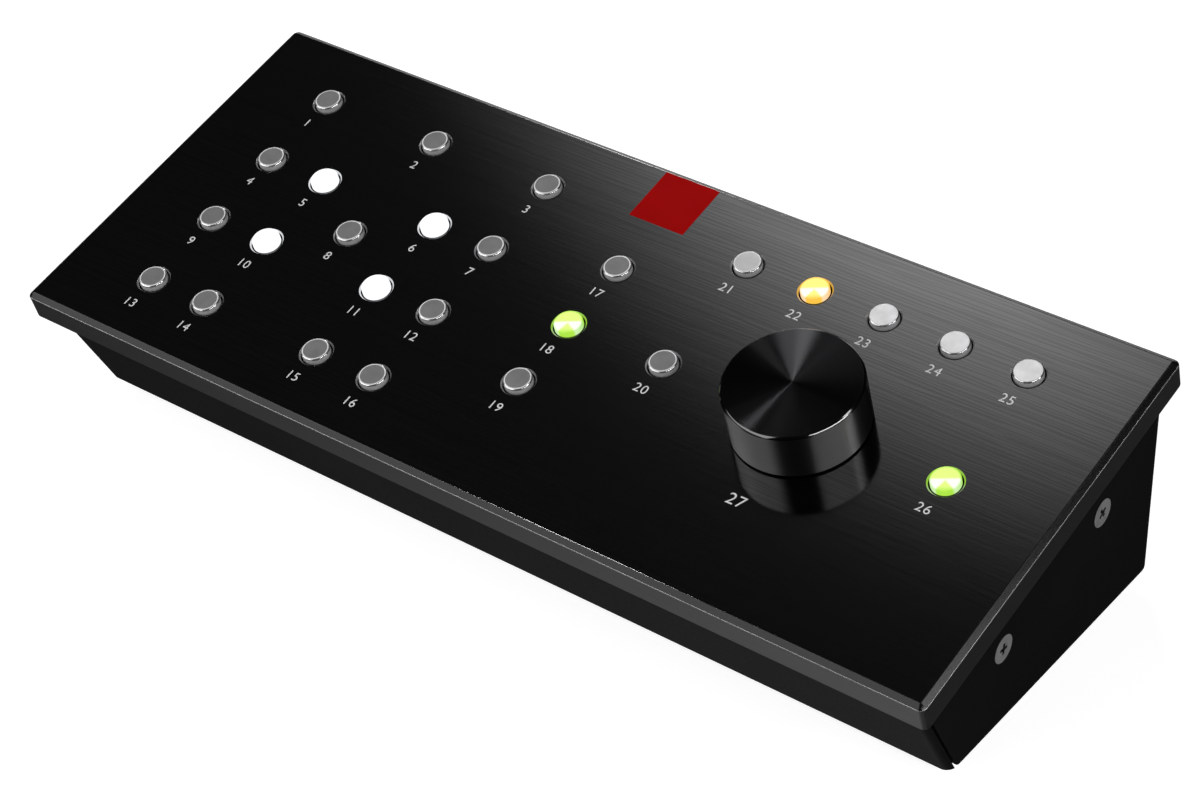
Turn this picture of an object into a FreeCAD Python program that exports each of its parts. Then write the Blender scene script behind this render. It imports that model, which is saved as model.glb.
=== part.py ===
import FreeCAD, Part
import Sketcher
import math
import os

# Studio monitor controller: a tilted control plate with 26 round push buttons and an endless
# volume knob, on a wedge-shaped sheet-metal case.
# Row frame: +X to the user's right, +Y to the rear, +Z up, origin on the table under the middle.
# Panel frame: tilted about X; its origin is the middle of the plate's top surface, +Z outwards.

doc = FreeCAD.newDocument("monitor_controller")

# ---------------------------------------------------------------------------
# Driving dimensions, in millimetres and degrees
# ---------------------------------------------------------------------------
DRIVING = (
    # top plate
    ("plate_width", 219.5),
    ("plate_depth", 89.0),
    ("plate_thickness", 6.4),
    ("bevel_corner", 0.2),
    ("bevel_width", 1.2),
    ("bevel_drop", 0.9),
    ("panel_tilt", 14.7),
    ("panel_height", 43.15),
    # button field
    ("side_margin", 23.05),
    ("row_margin", 15.625),
    ("speaker_pitch", 15.0),
    ("mode_column", 0.3),
    ("mode_pitch", 16.5),
    ("source_pitch", 15.85),
    # buttons
    ("cap_radius", 2.95),
    ("cap_rise", 1.0),
    ("cap_clearance", 0.35),
    ("collar_size", 7.6),
    ("collar_thickness", 0.8),
    ("stop_gap", 0.05),
    ("key_travel", 0.5),
    ("travel_clearance", 0.25),
    ("stem_size", 3.0),
    ("stem_reach", 2.2),
    # key switches and their lamps
    ("switch_size", 6.0),
    ("switch_height", 4.2),
    ("switch_shaft_clearance", 0.1),
    ("switch_floor", 1.2),
    ("lamp_length", 2.0),
    ("lamp_width", 1.2),
    ("lamp_height", 0.7),
    ("lamp_gap", 0.4),
    # boards and their fixings
    ("board_thickness", 1.6),
    ("board_side_gap", 2.8),
    ("board_front_gap", 1.15),
    ("board_rear_margin", 6.5),
    ("screw_radius", 1.5),
    ("screw_clearance", 0.1),
    ("screw_head_flats", 5.5),
    ("screw_head_height", 2.0),
    ("screw_grip", 3.0),
    ("standoff_flats", 5.0),
    ("standoff_inset_x", 6.55),
    ("standoff_inset_y", 4.0),
    # rotary encoder
    ("encoder_size", 13.0),
    ("encoder_plate_gap", 0.2),
    ("bushing_radius", 3.5),
    ("bushing_rise", 2.8),
    ("bushing_clearance", 0.1),
    ("shaft_radius", 3.0),
    ("shaft_clearance", 0.05),
    ("shaft_rise", 8.8),
    ("shaft_floor", 1.0),
    ("shaft_flat_depth", 0.6),
    ("shaft_flat_length", 5.5),
    ("washer_radius", 6.0),
    ("washer_thickness", 0.5),
    ("nut_across_flats", 10.0),
    ("nut_thickness", 2.0),
    # volume knob
    ("knob_radius", 13.65),
    ("knob_top", 11.0),
    ("knob_base_gap", 0.5),
    ("knob_bevel", 0.45),
    ("knob_recess_radius", 9.5),
    ("knob_recess_depth", 4.0),
    ("knob_bore_clearance", 0.02),
    ("knob_bore_floor", 0.3),
    ("grub_radius", 1.5),
    ("grub_length", 6.0),
    ("grub_height", 6.8),
    ("grub_clearance", 0.05),
    ("grub_socket_radius", 0.8),
    ("grub_socket_depth", 1.6),
    # sheet-metal case
    ("sheet", 1.5),
    ("side_sheet", 2.0),
    ("side_inset", 3.4),
    ("front_inset", 2.1),
    ("rear_inset", 1.6),
    ("case_depth", 70.2),
    ("front_bend", 2.2),
    ("bottom_bend", 1.2),
    ("front_seam", 0.5),
    ("side_corner_radius", 1.0),
    ("end_flange", 8.0),
    ("seam_gap", 0.1),
    # side screws and the angles behind them
    ("side_screw_rear_margin", 25.2),
    ("side_screw_front_margin", 28.7),
    ("side_screw_drop", 19.1),
    ("side_screw_length", 8.0),
    ("countersunk_radius", 2.95),
    ("countersink_clearance", 0.15),
    ("recess_arm", 1.6),
    ("recess_slot", 0.55),
    ("recess_depth", 1.2),
    ("bracket_sheet", 2.0),
    ("bracket_key_gap", 1.85),
    ("bracket_drop", 18.5),
    ("bracket_margin", 8.0),
    # rubber feet
    ("foot_height", 3.0),
    ("foot_radius", 6.0),
    ("foot_top_radius", 5.2),
    ("foot_inset_x", 14.0),
    ("foot_inset_y", 11.0),
    # rear sockets and their board
    ("io_width", 70.0),
    ("io_depth", 34.0),
    ("io_height", 5.0),
    ("io_wall_gap", 0.6),
    ("io_hole_inset", 4.0),
    ("socket_protrusion", 0.2),
    ("cutout_clearance", 0.3),
    ("usb_place", 17.0),
    ("usb_width", 12.0),
    ("usb_height", 11.0),
    ("usb_length", 16.0),
    ("usb_shell_wall", 0.4),
    ("usb_mouth_width", 8.45),
    ("usb_mouth_height", 7.8),
    ("usb_mouth_chamfer", 1.6),
    ("usb_mouth_depth", 9.0),
    ("usb_tongue_width", 5.6),
    ("usb_tongue_height", 3.2),
    ("usb_tongue_setback", 1.2),
    ("usb_contact_width", 1.0),
    ("usb_contact_pitch", 2.5),
    ("usb_contact_thickness", 0.2),
    ("usb_contact_length", 6.0),
    ("net_place", 15.0),
    ("net_width", 16.0),
    ("net_height", 13.4),
    ("net_length", 18.0),
    ("net_mouth_width", 11.9),
    ("net_mouth_height", 7.0),
    ("net_mouth_depth", 13.0),
    ("net_mouth_lift", 1.6),
    ("net_latch_width", 6.2),
    ("net_latch_height", 1.6),
    ("net_key_width", 3.4),
    ("net_key_height", 1.3),
    ("net_contact_pitch", 1.02),
    ("net_contact_width", 0.45),
    ("net_contact_thickness", 0.35),
    ("net_contact_drop", 2.0),
    ("net_contact_inset", 3.0),
    # headers, ribbon and controller chip
    ("header_width", 17.0),
    ("header_depth", 6.0),
    ("header_height", 6.0),
    ("header_place", 12.0),
    ("ribbon_width", 12.7),
    ("ribbon_thickness", 0.9),
    ("chip_size", 12.0),
    ("chip_height", 1.4),
    ("chip_place_x", 45.0),
    ("chip_place_y", 8.0),
)

# Formulas that more than one piece uses. "p_" lies in the panel frame, the rest in the row frame.
DERIVED = (
    ("half_width", "dims.plate_width / 2"),
    ("half_depth", "dims.plate_depth / 2"),
    ("panel_y", "-(dims.plate_thickness + dims.bevel_drop) * sin(dims.panel_tilt) / 2"),
    ("outer_column", "layout.half_width - dims.side_margin"),
    ("outer_row", "layout.half_depth - dims.row_margin"),
    ("row_pitch", "2 * layout.outer_row / 3"),
    ("knob_x", "layout.outer_column - 2 * dims.source_pitch"),
    ("hole_radius", "dims.cap_radius + dims.cap_clearance"),
    # levels below the plate's top surface
    ("collar_top", "dims.plate_thickness + dims.stop_gap"),
    ("collar_base", "layout.collar_top + dims.collar_thickness"),
    ("switch_top", "layout.collar_base + dims.key_travel + dims.travel_clearance"),
    ("board_top", "layout.switch_top + dims.switch_height"),
    ("board_base", "layout.board_top + dims.board_thickness"),
    # case
    ("side_x", "layout.half_width - dims.side_inset"),
    ("inner_x", "layout.side_x - dims.side_sheet"),
    ("rear_y", "(layout.half_depth - dims.rear_inset) * cos(dims.panel_tilt)"
               " + dims.plate_thickness * sin(dims.panel_tilt) + layout.panel_y"),
    ("front_y", "layout.rear_y - dims.case_depth"),
    ("floor_z", "dims.foot_height"),
    ("inner_z", "dims.foot_height + dims.sheet"),
    ("lip_y", "-(layout.half_depth - dims.front_inset) * cos(dims.panel_tilt)"
              " + dims.plate_thickness * sin(dims.panel_tilt) + layout.panel_y"),
    ("lip_z", "dims.panel_height - (layout.half_depth - dims.front_inset) * sin(dims.panel_tilt)"
              " - dims.plate_thickness * cos(dims.panel_tilt)"),
    ("lean", "(layout.front_y - layout.lip_y) / (layout.lip_z - layout.floor_z)"),
    ("wall_run", "sqrt(1 + layout.lean ^ 2)"),
    ("slope", "tan(dims.panel_tilt)"),
    # main board, in the panel frame; its front edge keeps off the front wall's inner face
    ("board_x", "layout.inner_x - dims.board_side_gap"),
    ("wall_gain", "((layout.board_base - dims.plate_thickness)"
                  " * (layout.lean * cos(dims.panel_tilt) - sin(dims.panel_tilt))"
                  " + dims.sheet * layout.wall_run)"
                  " / (cos(dims.panel_tilt) + layout.lean * sin(dims.panel_tilt))"),
    ("board_front", "layout.wall_gain + dims.board_front_gap + dims.front_inset - layout.half_depth"),
    ("board_rear", "layout.half_depth - dims.board_rear_margin"),
    ("standoff_x", "layout.board_x - dims.standoff_inset_x"),
    # side screws, along the plate, and the free end of the angles behind them
    ("side_screw_rear", "layout.half_depth - dims.side_screw_rear_margin"),
    ("side_screw_front", "layout.half_depth - dims.side_screw_front_margin"),
    ("bracket_tip", "layout.outer_column + dims.collar_size / 2 + dims.bracket_key_gap"),
    # rear board
    ("io_top", "layout.inner_z + dims.io_height + dims.board_thickness"),
    ("io_rear", "layout.rear_y - dims.sheet - dims.io_wall_gap"),
    ("io_front", "layout.io_rear - dims.io_depth"),
    ("mouth_y", "layout.rear_y + dims.socket_protrusion"),
    ("usb_middle_z", "layout.io_top + dims.usb_height / 2"),
    ("net_mouth_z", "layout.io_top + dims.net_latch_height + dims.net_key_height + dims.net_mouth_lift"),
    # ribbon
    ("header_y", "dims.header_place * cos(dims.panel_tilt)"
                 " + (layout.board_base + dims.header_height) * sin(dims.panel_tilt) + layout.panel_y"),
    ("header_z", "dims.panel_height + dims.header_place * sin(dims.panel_tilt)"
                 " - (layout.board_base + dims.header_height) * cos(dims.panel_tilt)"),
    ("ribbon_foot_z", "layout.io_top + dims.header_height"),
    ("ribbon_bend", "(layout.header_z - layout.ribbon_foot_z) / sin(dims.panel_tilt)"),
    ("ribbon_y", "layout.header_y + layout.ribbon_bend * (1 - cos(dims.panel_tilt))"),
)


def fill_sheet(name, rows, opening):
    """One spreadsheet: a name, its value and the alias that binds to it."""
    sheet = doc.addObject("Spreadsheet::Sheet", name)
    for line, (alias, value) in enumerate(rows, 1):
        sheet.set("A%d" % line, alias)
        sheet.set("B%d" % line, opening + str(value))
        sheet.setAlias("B%d" % line, alias)
    return sheet


dims = fill_sheet("dims", DRIVING, "")
layout = fill_sheet("layout", DERIVED, "=")
doc.recompute()

parts = []


# ---------------------------------------------------------------------------
# Sketching and feature helpers
# ---------------------------------------------------------------------------
def new_body(name, exported=True):
    body = doc.addObject("PartDesign::Body", name)
    body.Label = name
    if exported:
        parts.append(body)
    return body


def new_sketch(body, role, offset="0"):
    """A sketch on one of the body's own origin planes, moved along the plane's normal."""
    sketch = body.newObject("Sketcher::SketchObject", body.Name + "_sketch")
    plane = [datum for datum in body.Origin.OriginFeatures if datum.Role == role][0]
    sketch.AttachmentSupport = [(plane, "")]
    sketch.MapMode = "FlatFace"
    sketch.setExpression("AttachmentOffset.Base.z", offset)
    return sketch


def bind(sketch, kind, first, first_point, second, second_point, rule, start):
    """A driving constraint whose value follows a rule written in sheet aliases."""
    row = sketch.addConstraint(
        Sketcher.Constraint(kind, first, first_point, second, second_point, start))
    name = "%s_%d" % (kind.lower(), row)
    sketch.renameConstraint(row, name)
    sketch.setExpression("Constraints." + name, rule)


def pin_point(sketch, geometry, point, x_rule, y_rule, start):
    bind(sketch, "DistanceX", -1, 1, geometry, point, x_rule, start.x)
    bind(sketch, "DistanceY", -1, 1, geometry, point, y_rule, start.y)


def outline(sketch, corners):
    """A closed loop of straight lines through corners given as pairs of rules."""
    first = sketch.GeometryCount
    count = len(corners)
    turn = 2 * math.pi / count
    start = [FreeCAD.Vector(math.cos(turn * n), math.sin(turn * n), 0) for n in range(count)]
    for n in range(count):
        sketch.addGeometry(Part.LineSegment(start[n], start[(n + 1) % count]), False)
    for n in range(count):
        ahead = first + (n + 1) % count
        sketch.addConstraint(Sketcher.Constraint("Coincident", first + n, 2, ahead, 1))
    for n, (x_rule, y_rule) in enumerate(corners):
        pin_point(sketch, first + n, 1, x_rule, y_rule, start[n])


def box_outline(sketch, left, right, low, high):
    outline(sketch, ((left, low), (right, low), (right, high), (left, high)))


def centred_box(sketch, x_rule, y_rule, width, height):
    """A rectangle given by its middle and its two sizes."""
    half_w = "(%s) / 2" % width
    half_h = "(%s) / 2" % height
    box_outline(sketch, "%s - %s" % (x_rule, half_w), "%s + %s" % (x_rule, half_w),
                "%s - %s" % (y_rule, half_h), "%s + %s" % (y_rule, half_h))


def round_hole(sketch, x_rule, y_rule, radius):
    start = FreeCAD.Vector(1, 1, 0)
    circle = sketch.addGeometry(Part.Circle(start, FreeCAD.Vector(0, 0, 1), 1), False)
    pin_point(sketch, circle, 3, x_rule, y_rule, start)
    row = sketch.addConstraint(Sketcher.Constraint("Radius", circle, 1))
    name = "radius_%d" % row
    sketch.renameConstraint(row, name)
    sketch.setExpression("Constraints." + name, radius)


def pad(body, sketch, length, backwards=False):
    feature = body.newObject("PartDesign::Pad", body.Name + "_pad")
    feature.Profile = sketch
    feature.setExpression("Length", length)
    feature.Reversed = backwards
    return feature


def pocket(body, sketch, depth, backwards=False):
    """A cut; one that takes nothing away is a mistake in its direction."""
    doc.recompute()
    before = body.Shape.Volume
    feature = body.newObject("PartDesign::Pocket", body.Name + "_pocket")
    feature.Profile = sketch
    feature.setExpression("Length", depth)
    feature.Reversed = backwards
    doc.recompute()
    if body.Shape.Volume >= before - 1e-6:
        raise RuntimeError("%s: a pocket cuts nothing" % body.Label)
    return feature


def revolve(body, sketch, axis="V_Axis", angle="360"):
    feature = body.newObject("PartDesign::Revolution", body.Name + "_turning")
    feature.Profile = sketch
    feature.ReferenceAxis = (sketch, [axis])
    feature.setExpression("Angle", angle)
    return feature


def edge_names(body, wanted):
    """Names of the edges of a body's present shape that a test picks out."""
    doc.recompute()
    edges = body.Tip.Shape.Edges
    return ["Edge%d" % number for number, edge in enumerate(edges, 1) if wanted(edge)]


def fillet(body, radius, wanted):
    base = body.Tip
    names = edge_names(body, wanted)
    feature = body.newObject("PartDesign::Fillet", body.Name + "_fillet")
    feature.Base = (base, names)
    feature.setExpression("Radius", radius)
    return feature


def chamfer(body, width, wanted):
    base = body.Tip
    names = edge_names(body, wanted)
    feature = body.newObject("PartDesign::Chamfer", body.Name + "_chamfer")
    feature.Base = (base, names)
    feature.setExpression("Size", width)
    return feature


def middle(edge):
    return edge.valueAt((edge.FirstParameter + edge.LastParameter) / 2)


def is_line(edge):
    return edge.Curve.TypeId == "Part::GeomLine"


def near(first, second):
    return abs(first - second) < 0.01


def put_on_panel(item, x_rule="0", y_rule="0", height_rule="0"):
    """Seat an object in the tilted panel frame, at a place given by rules."""
    item.Placement = FreeCAD.Placement(FreeCAD.Vector(), FreeCAD.Rotation(FreeCAD.Vector(1, 0, 0), 1))
    item.setExpression("Placement.Rotation.Angle", "dims.panel_tilt")
    item.setExpression("Placement.Base.x", x_rule)
    item.setExpression("Placement.Base.y", "layout.panel_y + (%s) * cos(dims.panel_tilt)"
                                           " - (%s) * sin(dims.panel_tilt)" % (y_rule, height_rule))
    item.setExpression("Placement.Base.z", "dims.panel_height + (%s) * sin(dims.panel_tilt)"
                                           " + (%s) * cos(dims.panel_tilt)" % (y_rule, height_rule))


def put_on_table(item, x_rule="0", y_rule="0", z_rule="0"):
    """Seat an object in the row frame, at a place given by rules."""
    item.setExpression("Placement.Base.x", x_rule)
    item.setExpression("Placement.Base.y", y_rule)
    item.setExpression("Placement.Base.z", z_rule)


def group(name, master, places, put):
    """One node of separate solids: the same piece linked at each place."""
    links = []
    for place in places:
        link = doc.addObject("App::Link", name + "_link")
        link.LinkedObject = master
        put(link, *place)
        links.append(link)
    compound = doc.addObject("Part::Compound", name)
    compound.Label = name
    compound.Links = links
    parts.append(compound)
    return compound


# ---------------------------------------------------------------------------
# Where the buttons stand, in the panel frame
# ---------------------------------------------------------------------------
def speaker_place(column, row):
    """The left field: one button per loudspeaker, five columns by four rows."""
    return ("%s * dims.speaker_pitch - layout.outer_column" % column,
            "layout.outer_row - %s * layout.row_pitch" % row)


def mode_place(step):
    """The column of three between the speakers and the sources."""
    return ("dims.mode_column", "-%d * dims.mode_pitch" % step)


def source_place(step, row_rule):
    """Along the right-hand field, in steps of the source pitch from its left-hand column."""
    return ("layout.outer_column - %d * dims.source_pitch" % (4 - step), row_rule)


def button_places():
    places = [speaker_place(column, 0) for column in (0, 2, 4)]
    places += [speaker_place(column, 1) for column in (0, 1, 3, 4)]
    places += [speaker_place(2, 1.5)]
    for row in (2, 3):
        places += [speaker_place(column, row) for column in (0, 1, 3, 4)]
    places += [mode_place(step) for step in (-1, 0, 1)]
    places += [source_place(0, "0")]
    places += [source_place(step, "layout.outer_row") for step in range(5)]
    places += [source_place(4, "0")]
    return places


BUTTONS = button_places()
BOARD_CORNERS = [(column, row) for row in ("layout.board_rear - dims.standoff_inset_y",
                                           "layout.board_front + dims.standoff_inset_y")
                 for column in ("-layout.standoff_x", "layout.standoff_x")]


# ---------------------------------------------------------------------------
# Top plate
# ---------------------------------------------------------------------------
def make_top_plate():
    """Thick plate: bevelled top edge, bored button holes and the encoder's hole."""
    body = new_body("top_plate")
    sketch = new_sketch(body, "XY_Plane")
    centred_box(sketch, "0", "0", "dims.plate_width", "dims.plate_depth")
    pad(body, sketch, "dims.plate_thickness", backwards=True)
    fillet(body, "dims.bevel_width + dims.bevel_corner",
           lambda edge: near(middle(edge).z, -dims.plate_thickness / 2))
    bevel = chamfer(body, "dims.bevel_width", lambda edge: near(middle(edge).z, 0))
    bevel.ChamferType = "Two distances"
    bevel.setExpression("Size2", "dims.bevel_drop")
    keys = new_sketch(body, "XY_Plane")
    for x_rule, y_rule in BUTTONS:
        round_hole(keys, x_rule, y_rule, "layout.hole_radius")
    round_hole(keys, "layout.knob_x", "0", "dims.bushing_radius + dims.bushing_clearance")
    pocket(body, keys, "2 * dims.plate_thickness")
    put_on_panel(body)


# ---------------------------------------------------------------------------
# Push buttons, their switches and lamps
# ---------------------------------------------------------------------------
def make_button(number, x_rule, y_rule):
    """Round cap with a square collar that stops it under the plate and a stem into its switch."""
    body = new_body("button_%02d" % number)
    cap = new_sketch(body, "XY_Plane", "-layout.collar_top")
    round_hole(cap, "0", "0", "dims.cap_radius")
    pad(body, cap, "layout.collar_top + dims.cap_rise")
    collar = new_sketch(body, "XY_Plane", "-layout.collar_base")
    centred_box(collar, "0", "0", "dims.collar_size", "dims.collar_size")
    pad(body, collar, "dims.collar_thickness")
    stem = new_sketch(body, "XY_Plane", "-layout.collar_base - dims.stem_reach")
    centred_box(stem, "0", "0", "dims.stem_size", "dims.stem_size")
    pad(body, stem, "dims.stem_reach")
    put_on_panel(body, x_rule, y_rule)


def make_key_switches():
    """Square housings on the board, each with a square shaft for its cap's stem."""
    master = new_body("key_switch", exported=False)
    block = new_sketch(master, "XY_Plane", "-layout.board_top")
    centred_box(block, "0", "0", "dims.switch_size", "dims.switch_size")
    pad(master, block, "dims.switch_height")
    shaft = new_sketch(master, "XY_Plane", "-layout.switch_top")
    opening = "dims.stem_size + 2 * dims.switch_shaft_clearance"
    centred_box(shaft, "0", "0", opening, opening)
    pocket(master, shaft, "dims.switch_height - dims.switch_floor")
    group("key_switches", master, BUTTONS, put_on_panel)


def make_key_leds():
    """One chip lamp on the board behind each switch, under the cap's collar."""
    master = new_body("key_led", exported=False)
    block = new_sketch(master, "XY_Plane", "-layout.board_top")
    centred_box(block, "0", "dims.switch_size / 2 + dims.lamp_gap + dims.lamp_width / 2",
                "dims.lamp_length", "dims.lamp_width")
    pad(master, block, "dims.lamp_height")
    group("key_leds", master, BUTTONS, put_on_panel)


# ---------------------------------------------------------------------------
# Main board and what holds it
# ---------------------------------------------------------------------------
def make_main_board():
    body = new_body("main_board")
    sketch = new_sketch(body, "XY_Plane", "-layout.board_base")
    box_outline(sketch, "-layout.board_x", "layout.board_x", "layout.board_front", "layout.board_rear")
    for x_rule, y_rule in BOARD_CORNERS:
        round_hole(sketch, x_rule, y_rule, "dims.screw_radius + dims.screw_clearance")
    pad(body, sketch, "dims.board_thickness")
    put_on_panel(body)


def hexagon(sketch, across_flats):
    """Six corners round the sketch's origin, one of them on the X axis."""
    radius = "(%s) / 2 / cos(30)" % across_flats
    outline(sketch, [("%s * cos(%d)" % (radius, angle), "%s * sin(%d)" % (radius, angle))
                     for angle in range(0, 360, 60)])


def standoff(name, foot, length, mouth, backwards):
    """Hexagonal pillar with a blind hole for its screw; the mouth is the end that the board rests on."""
    master = new_body(name, exported=False)
    column = new_sketch(master, "XY_Plane", foot)
    hexagon(column, "dims.standoff_flats")
    pad(master, column, length)
    hole = new_sketch(master, "XY_Plane", mouth)
    round_hole(hole, "0", "0", "dims.screw_radius + dims.screw_clearance")
    pocket(master, hole, "dims.screw_grip + dims.screw_clearance", backwards)
    return master


def hex_screw(name, seat, backwards):
    """Hexagon-head screw whose head lies on the far side of a board from its standoff."""
    master = new_body(name, exported=False)
    head = new_sketch(master, "XY_Plane", seat)
    hexagon(head, "dims.screw_head_flats")
    pad(master, head, "dims.screw_head_height", backwards)
    shank = new_sketch(master, "XY_Plane", seat)
    round_hole(shank, "0", "0", "dims.screw_radius")
    pad(master, shank, "dims.board_thickness + dims.screw_grip", not backwards)
    return master


def make_board_standoffs():
    """Pressed into the underside of the plate."""
    master = standoff("board_standoff", "-layout.board_top", "layout.board_top - dims.plate_thickness",
                      "-layout.board_top", True)
    group("board_standoffs", master, BOARD_CORNERS, put_on_panel)


def make_board_screws():
    master = hex_screw("board_screw", "-layout.board_base", True)
    group("board_screws", master, BOARD_CORNERS, put_on_panel)


def make_controller_chip():
    body = new_body("controller_chip")
    sketch = new_sketch(body, "XY_Plane", "-layout.board_base - dims.chip_height")
    centred_box(sketch, "-dims.chip_place_x", "dims.chip_place_y", "dims.chip_size", "dims.chip_size")
    pad(body, sketch, "dims.chip_height")
    put_on_panel(body)


def make_board_header():
    body = new_body("board_header")
    sketch = new_sketch(body, "XY_Plane", "-layout.board_base - dims.header_height")
    centred_box(sketch, "0", "dims.header_place", "dims.header_width", "dims.header_depth")
    pad(body, sketch, "dims.header_height")
    put_on_panel(body)


# ---------------------------------------------------------------------------
# Rotary encoder
# ---------------------------------------------------------------------------
def make_encoder_body():
    """Square encoder on the board, its bushing through the plate and a blind bore for the shaft."""
    body = new_body("encoder_body")
    block = new_sketch(body, "XY_Plane", "-layout.board_top")
    centred_box(block, "0", "0", "dims.encoder_size", "dims.encoder_size")
    pad(body, block, "layout.board_top - dims.plate_thickness - dims.encoder_plate_gap")
    bushing = new_sketch(body, "XY_Plane", "-dims.plate_thickness - dims.encoder_plate_gap")
    round_hole(bushing, "0", "0", "dims.bushing_radius")
    pad(body, bushing, "dims.plate_thickness + dims.encoder_plate_gap + dims.bushing_rise")
    bore = new_sketch(body, "XY_Plane", "dims.bushing_rise")
    round_hole(bore, "0", "0", "dims.shaft_radius + dims.shaft_clearance")
    pocket(body, bore, "layout.board_top + dims.bushing_rise - dims.shaft_floor")
    put_on_panel(body, "layout.knob_x")


def make_encoder_shaft():
    """Round shaft with a flat near its top for the knob's screw."""
    body = new_body("encoder_shaft")
    foot = "-layout.board_top + dims.shaft_floor + dims.shaft_clearance"
    sketch = new_sketch(body, "XY_Plane", foot)
    round_hole(sketch, "0", "0", "dims.shaft_radius")
    pad(body, sketch, "dims.shaft_rise + layout.board_top - dims.shaft_floor - dims.shaft_clearance")
    flat = new_sketch(body, "XY_Plane", "dims.shaft_rise")
    box_outline(flat, "-2 * dims.shaft_radius", "2 * dims.shaft_radius",
                "dims.shaft_radius - dims.shaft_flat_depth", "2 * dims.shaft_radius")
    pocket(body, flat, "dims.shaft_flat_length")
    put_on_panel(body, "layout.knob_x")


def make_encoder_washer():
    body = new_body("encoder_washer")
    sketch = new_sketch(body, "XY_Plane")
    round_hole(sketch, "0", "0", "dims.washer_radius")
    round_hole(sketch, "0", "0", "dims.bushing_radius + dims.bushing_clearance")
    pad(body, sketch, "dims.washer_thickness")
    put_on_panel(body, "layout.knob_x")


def make_encoder_nut():
    body = new_body("encoder_nut")
    sketch = new_sketch(body, "XY_Plane", "dims.washer_thickness")
    hexagon(sketch, "dims.nut_across_flats")
    round_hole(sketch, "0", "0", "dims.bushing_radius + dims.shaft_clearance")
    pad(body, sketch, "dims.nut_thickness")
    put_on_panel(body, "layout.knob_x")


# ---------------------------------------------------------------------------
# Volume knob
# ---------------------------------------------------------------------------
def make_volume_knob():
    """Turned knob: bevelled rim, a recess over the nut, a blind D-bore and a side screw hole."""
    body = new_body("volume_knob")
    sketch = new_sketch(body, "XZ_Plane")
    recess = "dims.knob_base_gap + dims.knob_recess_depth"
    bore = "dims.shaft_rise + dims.knob_bore_floor"
    outline(sketch, (
        ("0", "dims.knob_top"),
        ("dims.knob_radius - dims.knob_bevel", "dims.knob_top"),
        ("dims.knob_radius", "dims.knob_top - dims.knob_bevel"),
        ("dims.knob_radius", "dims.knob_base_gap"),
        ("dims.knob_recess_radius", "dims.knob_base_gap"),
        ("dims.knob_recess_radius", recess),
        ("dims.shaft_radius + dims.knob_bore_clearance", recess),
        ("dims.shaft_radius + dims.knob_bore_clearance", bore),
        ("0", bore)))
    revolve(body, sketch)
    side = new_sketch(body, "XZ_Plane", "-dims.knob_radius")
    round_hole(side, "0", "dims.grub_height", "dims.grub_radius + dims.grub_clearance")
    pocket(body, side, "dims.knob_radius", backwards=True)
    put_on_panel(body, "layout.knob_x")


def make_knob_set_screw():
    """Headless screw through the knob's rear side on to the shaft's flat."""
    body = new_body("knob_set_screw")
    tip = "dims.shaft_radius - dims.shaft_flat_depth + dims.knob_bore_clearance"
    sketch = new_sketch(body, "XZ_Plane", "-(%s)" % tip)
    round_hole(sketch, "0", "dims.grub_height", "dims.grub_radius")
    pad(body, sketch, "dims.grub_length", backwards=True)
    key = new_sketch(body, "XZ_Plane", "-(%s) - dims.grub_length" % tip)
    outline(key, [("dims.grub_socket_radius * cos(%d)" % angle,
                   "dims.grub_height + dims.grub_socket_radius * sin(%d)" % angle)
                  for angle in range(0, 360, 60)])
    pocket(body, key, "dims.grub_socket_depth", backwards=True)
    put_on_panel(body, "layout.knob_x")


# ---------------------------------------------------------------------------
# Sheet-metal case
# ---------------------------------------------------------------------------
def front_line(setback, height):
    """A corner on a line parallel to the front wall's outer face, set back from it."""
    return ("layout.front_y - layout.lean * (%s - layout.floor_z) + (%s) * layout.wall_run"
            % (height, setback), height)


def under_plate(setback):
    """Where a line set back from the front wall's face meets the plate's underside."""
    gain = "(%s) * layout.wall_run / (1 + layout.lean * layout.slope)" % setback
    return ("layout.lip_y + " + gain, "layout.lip_z + layout.slope * " + gain)


def rear_under_plate(setback):
    """Where a line set back from the rear wall's face meets the plate's underside."""
    place = "layout.rear_y - (%s)" % setback
    return (place, "layout.lip_z + layout.slope * (%s - layout.lip_y)" % place)


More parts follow.
